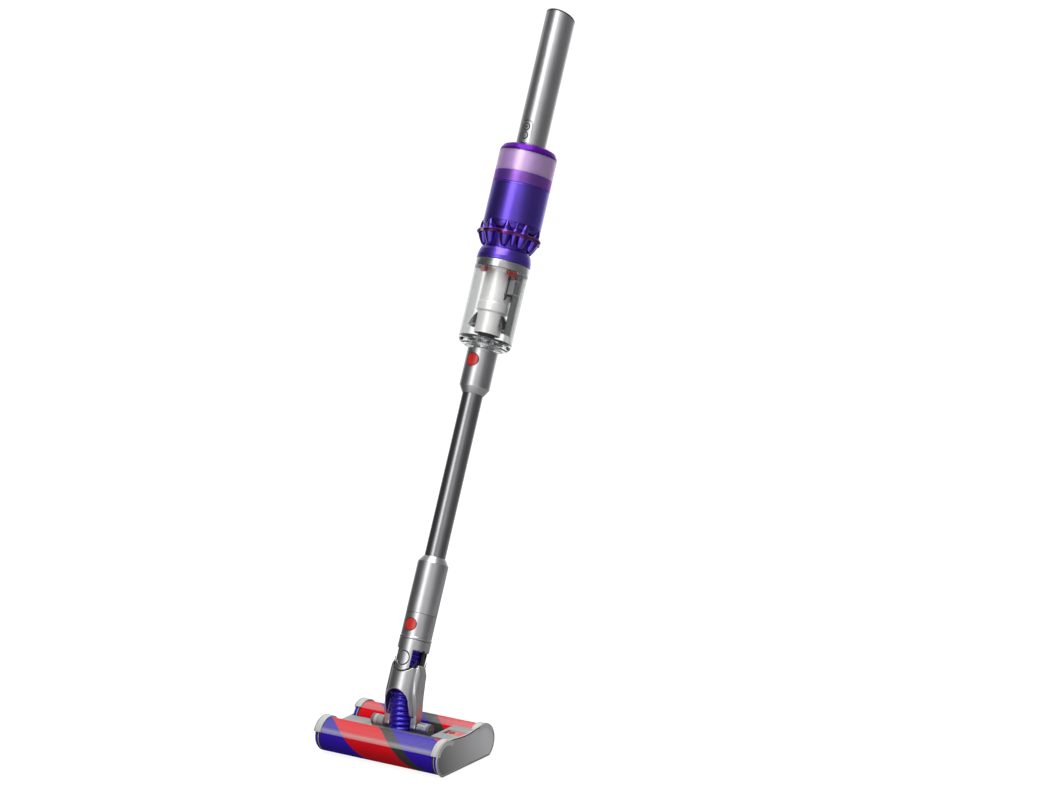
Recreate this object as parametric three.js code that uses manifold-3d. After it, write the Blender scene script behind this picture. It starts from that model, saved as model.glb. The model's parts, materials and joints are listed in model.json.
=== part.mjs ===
// A cordless stick vacuum: a soft-roller floor head on castors, a two-way neck joint, a wand,
// a clear bin with cyclones, a motor with its filter, and a slim battery handle.
// Millimetres, +Z up. The head stands flat on the floor and the stick leans back towards +Y.
// The head is built round its own centre, the stick along its own axis; both are placed at the end.

import * as THREE from 'three';
import { mergeVertices } from 'three/addons/utils/BufferGeometryUtils.js';
import Module from 'manifold-3d';

const wasm = await Module();
wasm.setup();

// ---- Driving dimensions ----

const gap = 0.3; // between pieces that touch
const lean = THREE.MathUtils.degToRad(24); // of the stick, backwards from upright

// floor head, in its own frame: x across, -y forwards, z = 0 on the floor
const headWidth = 208;
const rollerRadius = 23.8;
const rollerHeight = 24.3; // of both roller axes above the floor
const rollerSpread = 44.2; // from the head's centre line to each roller axis
const hoodInner = 24.6;
const hoodOuter = 26.2;
const hoodAngles = [15, 130]; // from the outward horizontal, over the top
const plateThickness = 1.8; // of the end plates
const hoodEndWidth = 11; // of the grey bands that hold the hoods
const chassisDepth = 38;
const chassisBottom = 16;
const chassisTop = 31.2;
const mouthHalf = 62; // half the length of the lowered part round the suction mouth
const mouthBottom = 4;
const leftDeckTop = 33.5;
const rightDeckTop = 46;
const rightDeckStart = 65;
const castorX = 80;
const castorY = 9.8;
const castorTrail = 3;
const castorRadius = 6;

// neck: the head tilts on two stub pins and the stick rolls on one fore-and-aft axis
const pivotY = -3;
const pivotZ = 43.4;
const pivotBehind = 16; // how far the tilt pins sit behind the stick's axis
const pinRadius = 5;
const neckRadius = 22.5;
const forkHalf = 26.5; // half the width of the fork below the neck
const armInner = 17.1; // half the distance between the fork's arms
const archHalf = 18.8; // half the width of the opening in front of the hose
const hoseRadius = 14.2;
const lowerHoseRadius = 15.3; // the hose is wider where it bends, between the arms
const rollS = 89; // the roll axis, along the stick
const rollRadius = 17.5;
const earHalf = 10;
const hoseSplit = 58; // where the lower hose meets the upper one

// stations along the stick's axis, from the foot point level with the tilt pins
const archS = 43;
const shoulderS = 78;
const shoulderTop = 83; // the fork's arms slope in from the shoulders to here
const knuckleTop = 116.5;
const windowTop = 104; // the neck is open at the sides between the shoulders and here
const headButtonS = 136;
const neckSeam = 153;
const lowerCollarTop = 225;
const lowerChamferTop = 234;
const upperChamferBottom = 467;
const upperCollarBottom = 477;
const wandButtonS = 513;
const upperCollarTop = 530;
const binBottom = 532;
const binTop = 655.5;
const waistS = 673;
const ringS = 693.7; // the burgundy ring round the cyclones
const crownTop = 710;
const housingTop = 766;
const filterTop = 824;
const handleTop = 1023;

const collarRadius = 21.75;
const wandRadius = 14.75;
const wandBore = 12.6;
const binRadius = 37.75;
const housingRadius = 41;
const handleRadius = 21.2;
const cycloneCount = 9;
const cycloneTurn = 23; // bearing of the first cyclone, from the front towards +X

const round = 28; // sides on the large, middling and small round shapes
const fine = 18;
const small = 12;

// ---- Solids ----

function weld(geometry) {
  const bare = geometry.clone();
  bare.deleteAttribute('normal');
  bare.deleteAttribute('uv');
  const merged = mergeVertices(bare, 1e-4);
  const corners = merged.index.array;
  const kept = [];
  for (let i = 0; i < corners.length; i += 3) {
    const [a, b, c] = [corners[i], corners[i + 1], corners[i + 2]];
    if (a !== b && b !== c && c !== a) {
      kept.push(a, b, c);
    }
  }
  merged.setIndex(kept);
  return facingOut(merged);
}

function facingOut(geometry) {
  const place = geometry.attributes.position;
  const corners = geometry.index.array;
  const [a, b, c] = [new THREE.Vector3(), new THREE.Vector3(), new THREE.Vector3()];
  let volume = 0;
  for (let i = 0; i < corners.length; i += 3) {
    a.fromBufferAttribute(place, corners[i]);
    b.fromBufferAttribute(place, corners[i + 1]);
    c.fromBufferAttribute(place, corners[i + 2]);
    volume += a.dot(b.cross(c));
  }
  if (volume < 0) {
    geometry.setIndex(Array.from(corners).reverse());
  }
  return geometry;
}

function solidOf(geometry) {
  const closed = weld(geometry);
  const vertProperties = new Float32Array(closed.attributes.position.array);
  const triVerts = new Uint32Array(closed.index.array);
  return new wasm.Manifold(new wasm.Mesh({ numProp: 3, vertProperties, triVerts }));
}

// points that lie within 0.05 mm of a flat face or straight edge are dropped
function geometryOf(solid) {
  const mesh = solid.simplify(0.05).getMesh();
  const geometry = new THREE.BufferGeometry();
  geometry.setAttribute('position', new THREE.BufferAttribute(new Float32Array(mesh.vertProperties), 3));
  geometry.setIndex(new THREE.BufferAttribute(new Uint32Array(mesh.triVerts), 1));
  return geometry;
}

function join(...shapes) {
  const solids = shapes.map(solidOf);
  return geometryOf(solids.reduce((whole, next) => whole.add(next)));
}

function cut(shape, ...tools) {
  const solids = tools.map(solidOf);
  return geometryOf(solids.reduce((whole, tool) => whole.subtract(tool), solidOf(shape)));
}

function common(shape, other) {
  return geometryOf(solidOf(shape).intersect(solidOf(other)));
}

// a solid of revolution about z from [radius, z] points
function turned(points, segments = round) {
  const profile = points.map(([radius, z]) => new THREE.Vector2(radius, z));
  return new THREE.LatheGeometry(profile, segments).rotateX(Math.PI / 2);
}

// a closed section of revolution that doesn't touch the axis
function ringOf(points, segments = round) {
  return turned([...points, points[0]], segments);
}

function tube(outer, inner, low, high, segments = round) {
  return ringOf([[inner, low], [outer, low], [outer, high], [inner, high]], segments);
}

function rod(radius, low, high, segments = small) {
  return turned([[0, low], [radius, low], [radius, high], [0, high]], segments);
}

// a rod along x or y, centred on the axis given by its other two coordinates
function rodX(radius, low, high, y, z, segments = small) {
  return rod(radius, low, high, segments).rotateY(Math.PI / 2).translate(0, y, z);
}

function rodY(radius, low, high, x, z, segments = small) {
  return rod(radius, -high, -low, segments).rotateX(Math.PI / 2).translate(x, 0, z);
}

function box(lowX, highX, lowY, highY, lowZ, highZ) {
  const block = new THREE.BoxGeometry(highX - lowX, highY - lowY, highZ - lowZ);
  return block.translate((lowX + highX) / 2, (lowY + highY) / 2, (lowZ + highZ) / 2);
}

// a flat outline in y (first) and z (second), given its thickness along x
function sheetX(shape, low, high, segments = 10) {
  const form = { depth: high - low, bevelEnabled: false, curveSegments: segments };
  const flat = new THREE.ExtrudeGeometry(shape, form);
  const turn = new THREE.Matrix4().makeBasis(
    new THREE.Vector3(0, 1, 0), new THREE.Vector3(0, 0, 1), new THREE.Vector3(1, 0, 0),
  );
  return flat.applyMatrix4(turn).translate(low, 0, 0);
}

function radians(degrees) {
  return THREE.MathUtils.degToRad(degrees);
}

// ---- Finishes ----

function finish(color, roughness, metalness, opacity = 1) {
  return new THREE.MeshStandardMaterial({ color, roughness, metalness, opacity, transparent: opacity < 1 });
}

const finishes = {
  nickel: finish(0x6a6a70, 0.28, 0.9),
  wandMetal: finish(0x4c4c50, 0.25, 0.95),
  satin: finish(0xa3a3a8, 0.45, 0.5),
  darkPlastic: finish(0x2b2b30, 0.5, 0),
  deckGrey: finish(0x8f9394, 0.5, 0.1),
  black: finish(0x101014, 0.6, 0),
  red: finish(0xd0121f, 0.35, 0),
  violet: finish(0x4a2ac8, 0.3, 0.7),
  deepViolet: finish(0x331c8c, 0.3, 0.3),
  burgundy: finish(0x7a2a78, 0.35, 0.2),
  hose: finish(0x22009c, 0.25, 0),
  felt: finish(0x2d149a, 0.95, 0),
  clear: finish(0xe8ecee, 0.08, 0, 0.3),
  silver: finish(0xc9c9c4, 0.3, 0.5),
  purpleClear: finish(0x5a14aa, 0.12, 0, 0.55),
  pleat: finish(0xd6c2e4, 0.85, 0),
  copper: finish(0xb87333, 0.4, 0.9),
  cell: finish(0x2f7a4a, 0.4, 0.1),
};

function piece(name, geometry, finishName) {
  const part = new THREE.Mesh(weld(geometry), finishes[finishName]);
  part.geometry.computeVertexNormals();
  part.name = name;
  return part;
}

// ---- Floor head ----

const halfWidth = headWidth / 2;
const plateInner = halfWidth - plateThickness;
const rollerEnd = plateInner - 0.4;

// side: -1 for the front roller, 1 for the rear one; angles from its outward horizontal
function hoodBand(side, outer, inner, lowX, highX) {
  const [from, to] = hoodAngles.map(radians);
  const band = new THREE.Shape();
  band.absarc(0, 0, outer, from, to, false);
  band.absarc(0, 0, inner, to, from, true);
  band.closePath();
  const shell = sheetX(band, lowX, highX, 8);
  if (side < 0) {
    shell.scale(1, -1, 1);
  }
  return shell.translate(0, side * rollerSpread, rollerHeight);
}

function roller() {
  return tube(rollerRadius, 19.5, -rollerEnd, rollerEnd).rotateY(Math.PI / 2);
}

// a plate over both roller ends: round at the rollers, lower between them, flat underneath
function endOutline(radius, middleTop, bottom) {
  const rise = Math.asin((middleTop + 1.3 - rollerHeight) / radius);
  const drop = Math.asin((rollerHeight - bottom) / radius);
  const plate = new THREE.Shape();
  plate.absarc(-rollerSpread, rollerHeight, radius, Math.PI + drop, rise, true);
  plate.lineTo(-rollerSpread + radius * Math.cos(rise) + 2, middleTop);
  plate.lineTo(rollerSpread - radius * Math.cos(rise) - 2, middleTop);
  plate.absarc(rollerSpread, rollerHeight, radius, Math.PI - rise, -drop, true);
  plate.closePath();
  return plate;
}

// a plate with the two bands that hold the hoods' ends and the two bosses the rollers turn on
function endFrame(plate) {
  const shapes = [plate];
  for (const side of [-1, 1]) {
    shapes.push(hoodBand(side, hoodOuter, hoodInner, halfWidth - hoodEndWidth, halfWidth));
    shapes.push(hoodBand(side, hoodInner + 0.5, 19, plateInner, halfWidth));
    shapes.push(rodX(18.9, plateInner - 5, plateInner + 0.5, side * rollerSpread, rollerHeight, fine));
  }
  return join(...shapes);
}

// the left plate is smaller than the rollers, so their edges sweep right up to the skirting
function leftEndFrame() {
  const plate = sheetX(endOutline(21.5, leftDeckTop, 4), plateInner, halfWidth);
  return endFrame(plate).scale(-1, 1, 1);
}

// the right plate covers the roller ends and has a shallow seat for the satin cap
function rightEndFrame() {
  const plate = sheetX(endOutline(hoodOuter, rightDeckTop, 1.2), plateInner, halfWidth);
  const seat = sheetX(endOutline(hoodOuter - 1.4, rightDeckTop, 2.4), halfWidth - 1.1, halfWidth + 1);
  return cut(endFrame(plate), seat);
}

function rightEndCap() {
  return sheetX(endOutline(hoodOuter - 1.8, rightDeckTop - 0.4, 2.8), halfWidth - 0.8, halfWidth);
}

function hood(side) {
  const end = halfWidth - hoodEndWidth - gap;
  return hoodBand(side, hoodOuter - 0.2, hoodInner, -end, end);
}

function chassis() {
  const half = chassisDepth / 2;
  const beam = box(-plateInner + 0.3, plateInner - 0.3, -half, half, chassisBottom, chassisTop);
  const mouth = box(-mouthHalf, mouthHalf, -half, half, mouthBottom, chassisBottom + 1);
  const channel = box(-mouthHalf + 6, mouthHalf - 6, -half + 5, half - 5, mouthBottom - 1, 13);
  const throat = rod(10.5, 12, chassisTop + 1, small).translate(0, pivotY - 2.6, 0);
  const stems = [];
  for (const x of [-castorX, castorX]) {
    for (const y of [-castorY, castorY]) {
      stems.push(rod(2.8, chassisBottom - 1, chassisBottom + 9, 16).translate(x, y, 0));
    }
  }
  return cut(join(beam, mouth), channel, throat, ...stems);
}

function castorFork() {
  const disc = rod(8, chassisBottom - 3.3, chassisBottom - gap, fine);
  const stem = rod(2.5, chassisBottom - 1, chassisBottom + 8, 16);
  const cheeks = [];
  for (const side of [-1, 1]) {
    const x = side * 4.4;
    cheeks.push(box(x - 1, x + 1, castorTrail - 3, castorTrail + 3, 3.4, chassisBottom - 2));
  }
  return join(disc, stem, ...cheeks);
}

function castorWheel() {
  const shoulder = castorRadius - 0.8;
  const tread = [[shoulder, -3], [castorRadius, -2.2], [castorRadius, 2.2], [shoulder, 3]];
  return turned([[0, -3], ...tread, [0, 3]], small).rotateY(Math.PI / 2);
}

function rollerMotor() {
  const can = rodX(15, -92, -24, 0, 0, fine);
  const nose = rodX(10, -96.4, -20, 0, 0, fine);
  return join(can, nose);
}

function leftDeck() {
  const half = chassisDepth / 2;
  return box(-plateInner + 0.3, -52, -half, half, chassisTop + gap, leftDeckTop);
}

function rightDeck() {
  const block = box(rightDeckStart, plateInner - 0.3, -28.4, 28.4, chassisTop + gap, rightDeckTop);
  const clearances = [];
  for (const side of [-1, 1]) {
    const axis = side * rollerSpread;
    clearances.push(rodX(hoodOuter + gap, rightDeckStart - 1, halfWidth, axis, rollerHeight, round));
  }
  const recess = box(70.5, plateInner + 1, -8, 8, rightDeckTop - 2.4, rightDeckTop + 1);
  return cut(block, ...clearances, recess);
}

function rollerLatch() {
  const slab = box(75.5, 101.2, -7.5, 7.5, rightDeckTop - 2.1, rightDeckTop - 0.6);
  const dimple = rod(3.6, rightDeckTop - 0.8, rightDeckTop + 0.2, small).translate(80.5, 0, 0);
  return join(slab, dimple);
}

// side: -1 for the left block, 1 for the right one
function pinBlock(side) {
  const pedestal = box(forkHalf + 1, 46, pivotY - 5.5, pivotY + 9, chassisTop + gap, pivotZ);
  const barrel = rodX(8.2, forkHalf + 0.4, 48, pivotY, pivotZ, fine);
  const stub = rodX(pinRadius, armInner - 0.3, forkHalf + 1, pivotY, pivotZ, small);
  return join(pedestal, barrel, stub).scale(side, 1, 1);
}

function headPieces() {
  const group = new THREE.Group();
  const add = (name, geometry, finishName, x = 0, y = 0, z = 0) => {
    const part = piece(name, geometry, finishName);
    part.position.set(x, y, z);
    group.add(part);
  };
  add('head_chassis', chassis(), 'darkPlastic');
  add('left_end_frame', leftEndFrame(), 'silver');
  add('right_end_frame', rightEndFrame(), 'silver');
  add('right_end_cap', rightEndCap(), 'satin');
  add('left_deck', leftDeck(), 'deckGrey');
  add('right_deck', rightDeck(), 'deckGrey');
  add('roller_latch', rollerLatch(), 'red');
  add('left_pin_block', pinBlock(-1), 'satin');
  add('right_pin_block', pinBlock(1), 'satin');
  for (const [place, side] of [['front', -1], ['rear', 1]]) {
    add(`${place}_roller`, roller(), 'felt', 0, side * rollerSpread, rollerHeight);
    add(`${place}_roller_motor`, rollerMotor(), 'black', 0, side * rollerSpread, rollerHeight);
    add(`${place}_hood`, hood(side), 'clear');
  }
  for (const [across, x] of [['left', -castorX], ['right', castorX]]) {
    for (const [along, y] of [['front', -castorY], ['rear', castorY]]) {
      add(`castor_fork_${along}_${across}`, castorFork(), 'darkPlastic', x, y, 0);
      add(`castor_wheel_${along}_${across}`, castorWheel(), 'black', x, y + castorTrail, castorRadius);
    }
  }
  group.add(piece('hose_lower', hoseLower(), 'hose'));
  return group;
}

// ---- Neck ----

const footY = pivotY - pivotBehind * Math.cos(lean);
const footZ = pivotZ + pivotBehind * Math.sin(lean);
const foot = new THREE.Vector3(0, footY, footZ);

// a point on the stick, carried into the head's frame
function fromStick(y, s) {
  const along = new THREE.Vector3(0, y, s).applyAxisAngle(new THREE.Vector3(1, 0, 0), -lean);
  return along.add(foot);
}

// from the chassis straight up, then round into the stick's own line
function hoseLower() {
  const section = new THREE.Shape();
  section.absarc(0, 0, lowerHoseRadius, 0, Math.PI * 2, false);
  const bore = new THREE.Path();
  bore.absarc(0, 0, lowerHoseRadius - 2.8, 0, Math.PI * 2, true);
  section.holes.push(bore);
  const port = new THREE.Vector3(0, pivotY - 2.6, chassisTop + gap);
  const rise = port.clone().add(new THREE.Vector3(0, 0, 22));
  const path = new THREE.CubicBezierCurve3(port, rise, fromStick(0, 32), fromStick(0, hoseSplit));
  const form = { steps: 9, curveSegments: 8, bevelEnabled: false, extrudePath: path };
  return new THREE.ExtrudeGeometry(section, form);
}

function hoseUpper() {
  return tube(hoseRadius, hoseRadius - 2.6, hoseSplit + gap, 113, small);
}

// the fork seen from the side: broad at the shoulders, running back and down to the tilt pins
function forkProfile() {
  const side = new THREE.Shape();
  side.moveTo(-10, shoulderTop);
  side.lineTo(-11, shoulderS - 14);
  side.lineTo(-8, archS);
  side.lineTo(4, 15);
  side.absarc(pivotBehind, 0, 8.2, radians(170), radians(20), false);
  side.lineTo(13, archS);
  side.lineTo(9, shoulderS - 14);
  side.lineTo(7, shoulderTop);
  side.closePath();
  return side;
}

// the two arms, rounded off in plan
function forkArms() {
  const plan = new THREE.Shape();
  const [front, back, frontCorner, backCorner] = [-12, 26, 11, 8];
  plan.absarc(forkHalf - backCorner, back - backCorner, backCorner, 0, Math.PI / 2, false);
  plan.absarc(backCorner - forkHalf, back - backCorner, backCorner, Math.PI / 2, Math.PI, false);
  plan.absarc(frontCorner - forkHalf, front + frontCorner, frontCorner, Math.PI, Math.PI * 1.5, false);
  plan.absarc(forkHalf - frontCorner, front + frontCorner, frontCorner, Math.PI * 1.5, Math.PI * 2, false);
  plan.closePath();
  const column = new THREE.ExtrudeGeometry(plan, { depth: 100, bevelEnabled: false, curveSegments: 6 });
  const slab = sheetX(forkProfile(), -forkHalf, forkHalf);
  const between = box(-armInner, armInner, -40, 40, -20, archS);
  const waist = rod(16.2, archS - 1, shoulderTop + 1, round);
  const slopes = [-1, 1].map((side) => {
    const wedge = box(0, 20, -40, 40, 0, 40).rotateY(radians(-21));
    return wedge.translate(forkHalf, 0, shoulderS - 7).scale(side, 1, 1);
  });
  return cut(common(slab, column.translate(0, 0, -15)), between, waist, ...slopes);
}

// below the arch the neck's round wall is cut back to run into the arms
function forkSkirt() {
  const side = new THREE.Shape();
  side.moveTo(-neckRadius - 1, archS + 2);
  side.lineTo(-13, 30);
  side.lineTo(-2, 12);
  side.lineTo(18, 12);
  side.lineTo(18, archS + 2);
  side.closePath();
  return common(tube(neckRadius, 15.6, 10, archS + 1), sheetX(side, -30, 30));
}

function yoke() {
  const wall = join(tube(neckRadius, 15.6, archS, shoulderS), forkSkirt(), forkArms());
  const nest = rodY(rollRadius + 0.5, -30, 30, 0, rollS, round);
  const archway = rodY(1, -30, 0, 0, 0, fine).scale(archHalf, 1, 18).translate(0, 0, archS - 16);
  const between = box(-archHalf, archHalf, -30, 0, 0, archS - 16);
  const rearArch = rodY(armInner, 0, 30, 0, archS - 15, fine);
  const rearBetween = box(-armInner, armInner, 0, 30, 0, archS - 15);
  const ears = [];
  for (const side of [-1, 1]) {
    const low = Math.min(side * 14.6, side * 18);
    const disc = rodY(earHalf, low, low + 3.4, 0, rollS, fine);
    const web = box(-earHalf, earHalf, low, low + 3.4, 58, rollS);
    ears.push(disc, web);
  }
  const skin = cut(wall, nest, archway, between, rearArch, rearBetween);
  const pinHoles = rodX(pinRadius + 0.3, -30, 30, pivotBehind, 0, fine);
  const rollHole = rodY(4.3, -30, 30, 0, rollS, fine);
  const bore = rod(hoseRadius + 0.5, 50, rollS + 20, fine);
  const lowerBore = rod(lowerHoseRadius + 1.2, 20, hoseSplit + 1, fine);
  return cut(join(skin, ...ears), pinHoles, rollHole, bore, lowerBore);
}

function knuckle() {
  const wall = tube(neckRadius - 0.1, 15, 60, knuckleTop);
  const tongue = join(rodY(rollRadius, -30, 30, 0, rollS, round), box(-16, 16, -30, 30, rollS, 105));
  const keep = join(tongue, box(-30, 30, -30, 30, windowTop, 120));
  const inside = box(-30, 30, -18.4, 18.4, 60, rollS + 13);
  const pins = [];
  for (const side of [-1, 1]) {
    const low = side < 0 ? -30 : 19.6;
    pins.push(rodY(9.8, low, low + 10.4, 0, rollS, fine));
  }
  const rollHole = rodY(4.3, -30, 30, 0, rollS, fine);
  return cut(common(wall, keep), inside, rollHole, ...pins);
}

// side: -1 in front, 1 behind; the head of the pin follows the neck's round
function rollPin(side) {
  const shank = rodY(4, 14.8, 21, 0, rollS, small);
  const head = rodY(9.5, 19.9, 30, 0, rollS, fine);
  const skin = rod(neckRadius + 0.2, 60, 110, round);
  return common(join(shank, head), skin).scale(1, side, 1);
}

function neckCollar() {
  const shell = ringOf([
    [wandBore - 2.6, knuckleTop + gap], [neckRadius, knuckleTop + gap], [neckRadius, knuckleTop + 3],
    [collarRadius, knuckleTop + 4.2], [collarRadius, neckSeam], [wandBore - 0.4, neckSeam],
    [wandBore - 0.4, neckSeam + 18], [wandBore - 2.6, neckSeam + 18],
  ]);
  return cut(shell, buttonWell(headButtonS, redRadius));
}

// ---- Round push buttons that follow the tube they sit in ----

const buttonDepth = 4;
const redRadius = 8.6;

function buttonWell(s, radius) {
  return rodY(radius + 0.4, -30, -collarRadius + buttonDepth, 0, s, fine);
}

function roundButton(s, radius, skin) {
  const plug = rodY(radius, -30, -collarRadius + buttonDepth - 1.8, 0, s, fine);
  return common(plug, rod(skin, s - 20, s + 20, round));
}

// ---- Wand ----

function lowerCollar() {
  return ringOf([
    [wandRadius + gap, neckSeam + 12], [wandBore, neckSeam + 12], [wandBore, neckSeam + gap],
    [collarRadius, neckSeam + gap], [collarRadius, lowerCollarTop], [wandRadius + 0.6, lowerChamferTop],
    [wandRadius + gap, lowerChamferTop],
  ]);
}

function wandTube() {
  return tube(wandRadius, wandBore, neckSeam + 12 + gap, binBottom + 16);
}

function upperCollar() {
  const shell = ringOf([
    [wandRadius + gap, upperChamferBottom], [wandRadius + 0.6, upperChamferBottom],
    [collarRadius - 0.25, upperCollarBottom], [collarRadius - 0.25, upperCollarTop],
    [wandRadius + gap, upperCollarTop],
  ]);
  return cut(shell, buttonWell(wandButtonS, redRadius + 0.4));
}

// ---- Bin ----

function binBase() {
  const hub = wandRadius + 0.5;
  return ringOf([
    [hub, binBottom], [27, binBottom], [33.5, binBottom + 2.5], [37, binBottom + 7.5],
    [binRadius, binBottom + 13], [binRadius - 2.2, binBottom + 13], [binRadius - 3, binBottom + 9],
    [31, binBottom + 5.2], [26, binBottom + 3.4], [hub + 3, binBottom + 3.4],
    [hub + 3, binBottom + 12], [hub, binBottom + 12],
  ]);
}

function binShell() {
  return tube(binRadius, binRadius - 2.2, binBottom + 13 + gap, binTop - 11);
}

function binRim() {
  return ringOf([
    [binRadius - 3.2, binTop - 11 + gap], [binRadius, binTop - 11 + gap], [binRadius + 0.3, binTop - 6],
    [binRadius, binTop - 0.2], [binRadius - 3.2, binTop - 0.2],
  ]);
}

function binRelease() {
  const pad = box(-9, 9, binRadius + 0.6, binRadius + 4.6, binTop - 22, binTop - 4);
  const fingerRidge = box(-7, 7, binRadius + 4, binRadius + 6, binTop - 20, binTop - 17);
  return join(pad, fingerRidge);
}

function shroud() {
  const shell = ringOf([
    [17.6, 553], [19, 553], [19, 566], [19.6, 583], [22.4, 585], [22.4, 596], [21.6, 598],
    [21.6, 642], [24, 646], [24, binTop - 3], [17.6, binTop - 3],
  ]);
  const window = box(0, 40, -8, 8, 610, 635);
  return cut(shell, window.rotateZ(radians(scoopTurn)));
}

// the skirt is open in front, over a third of a turn
function shroudSkirt() {
  const ring = ringOf([
    [20, 566], [28.8, 562], [28.8, 564.5], [24.4, 576], [20, 582],
  ]);
  const reach = 45;
  const wedge = new THREE.Shape();
  wedge.moveTo(0, 0);
  for (const bearing of [-45, 15, 75]) {
    wedge.lineTo(reach * Math.sin(radians(bearing)), -reach * Math.cos(radians(bearing)));
  }
  wedge.closePath();
  const opening = new THREE.ExtrudeGeometry(wedge, { depth: 40, bevelEnabled: false });
  return cut(ring, opening.translate(0, 0, 550));
}

const scoopTurn = -5; // bearing of the inlet scoop, from +X towards +Y

function inletDuct() {
  const pipe = tube(12, 10, 550, 640, fine);
  const roof = rod(12, 638, 641, fine);
  const scoop = box(8, 33.5, -7.4, 7.4, 612, 633);
  const mouth = box(0, 40, -5.8, 5.8, 614, 631);
  const turnedScoop = scoop.rotateZ(radians(scoopTurn));
  const turnedMouth = mouth.rotateZ(radians(scoopTurn));
  return cut(join(pipe, roof, turnedScoop), turnedMouth);
}

// bearing from the front towards +X, and half the width of each red catch
const catches = { left: [-19, 5], right: [63, 7.5] };

function binCatch(which) {
  const [bearing, half] = catches[which];
  const hook = box(-half, half, -33.6, -27.4, binTop - 19, binTop - 12);
  const arm = box(-half + 2, half - 2, -30.4, -27.4, binTop - 12.5, binTop - 5);
  return join(hook, arm).rotateZ(radians(bearing));
}

// ---- Cyclones and motor ----

function cycloneCollar() {
  return ringOf([
    [25, binTop + gap], [binRadius + 0.3, binTop + gap], [binRadius + 0.5, 662], [36.6, 669], [34.8, waistS],
    [25, waistS],
  ]);
}

function cyclone() {
  const bulb = [[0, -23], [4.5, -23], [7.6, -17], [8.4, 1]];
  const point = [[6, 3.6], [5.2, 13], [0, 24]];
  return turned([...bulb, ...point], 10).rotateX(radians(13)).translate(0, -36.2, 696);
}

function crown() {
  const hub = ringOf([
    [25, waistS + gap], [31, waistS + gap], [34.5, 690], [39, 699], [40.6, crownTop], [25, crownTop],
  ]);
  const shapes = [hub];
  for (let i = 0; i < cycloneCount; i += 1) {
    shapes.push(cyclone().rotateZ(radians(cycloneTurn + (i * 360) / cycloneCount)));
  }
  const seat = tube(50, 42.4, ringS - 2.8, ringS + 2.8);
  const below = rod(60, 640, waistS + gap, round);
  return cut(join(...shapes), seat, below, rod(24.9, 660, crownTop + 1, round), housingSpace());
}

// the housing's lower edge and the room round it, which the cyclone tips lie against
function housingSpace() {
  return ringOf([[20, crownTop], [housingRadius + 0.2, crownTop], [housingRadius + 0.2, 730], [20, 730]]);
}

function crownRing() {
  return ringOf([
    [42.8, ringS - 2.4], [45.4, ringS - 2.4], [46.2, ringS], [45.4, ringS + 2.4], [42.8, ringS + 2.4],
  ]);
}

function motorHousing() {
  return ringOf([
    [30, crownTop + gap], [housingRadius, crownTop + gap], [housingRadius, housingTop], [24, housingTop],
    [24, housingTop - 3], [housingRadius - 2.4, housingTop - 3], [housingRadius - 2.4, crownTop + 3],
    [30, crownTop + 3],
  ]);
}

function motorStator() {
  const can = tube(29, 25, 728, 762, fine);
  const shapes = [can];
  for (let i = 0; i < 3; i += 1) {
    shapes.push(box(27, housingRadius - 2.8, -2.5, 2.5, 736, 754).rotateZ(radians(90 + i * 120)));
  }
  const bearing = join(tube(7, 3.2, 758, 762, small), box(-26, 26, -2.5, 2.5, 758, 762));
  return join(...shapes, cut(bearing, rod(3.3, 750, 770, small)));
}

function motorRotor() {
  const shaft = rod(3, 726, 764, small);
  const magnet = rod(12, 738, 755, fine);
  const disc = rod(22, 729, 731, round);
  const blades = [];
  for (let i = 0; i < 9; i += 1) {
    blades.push(box(5, 21.5, -0.6, 0.6, 730, 736).rotateZ(radians(i * 40)));
  }
  return join(shaft, magnet, disc, ...blades);
}

// ---- Filter ----

function filterCover() {
  return ringOf([
    [21.8, filterTop - 2.4], [22.2, filterTop], [30, filterTop],
    [36.6, filterTop - 3], [40.3, filterTop - 8.5],
    [housingRadius - 0.2, filterTop - 15], [housingRadius - 0.2, housingTop + gap], [38.6, housingTop + gap],
    [38.6, filterTop - 9], [35, filterTop - 4.6], [29.6, filterTop - 2.4],
  ]);
}

function filterPleats() {
  const count = 24;
  const star = new THREE.Shape();
  for (let i = 0; i < count * 2; i += 1) {
    const radius = i % 2 ? 34.6 : 37.8;
    const angle = (i * Math.PI) / count;
    const point = [radius * Math.cos(angle), radius * Math.sin(angle)];
    if (i === 0) {
      star.moveTo(...point);
    } else {
      star.lineTo(...point);
    }
  }
  star.closePath();
  const bore = new THREE.Path();
  bore.absarc(0, 0, 22.6, 0, Math.PI * 2, true);
  star.holes.push(bore);
  const body = new THREE.ExtrudeGeometry(star, { depth: 30, bevelEnabled: false, curveSegments: 20 });
  return join(body.translate(0, 0, 782), tube(37.9, 22.6, housingTop + 0.6, 783));
}

// ---- Handle ----

const endSlope = radians(18);
const spigotRadius = 20.4;

// everything above the slanted end of the handle, lowered by the given amount
function aboveEnd(lowered) {
  return box(-60, 60, -60, 60, 0, 90).rotateX(-endSlope).translate(0, 0, handleTop - 8 - lowered);
}

function handleTube() {
  const shell = ringOf([
    [18.3, housingTop + 4], [spigotRadius, housingTop + 4], [spigotRadius, filterTop + 0.6],
    [handleRadius, filterTop + 1.4], [handleRadius, handleTop + 20], [18.3, handleTop + 20],
  ]);
  const panelSeat = join(
    box(-panelHalf - gap, panelHalf + gap, -30, -handleRadius + 2.1, panelBottom - gap, 850),
    rodY(panelHalf + gap, -30, -handleRadius + 2.1, 0, 850, fine),
  );
  const throughHoles = [];
  for (const s of buttonStations) {
    throughHoles.push(rodY(3.5, -30, 0, 0, s, small));
  }
  return cut(shell, panelSeat, ...throughHoles, aboveEnd(1.6));
}

const buttonStations = [849, 836.5];
const panelHalf = 8.6;
const panelBottom = 826.2;

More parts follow.
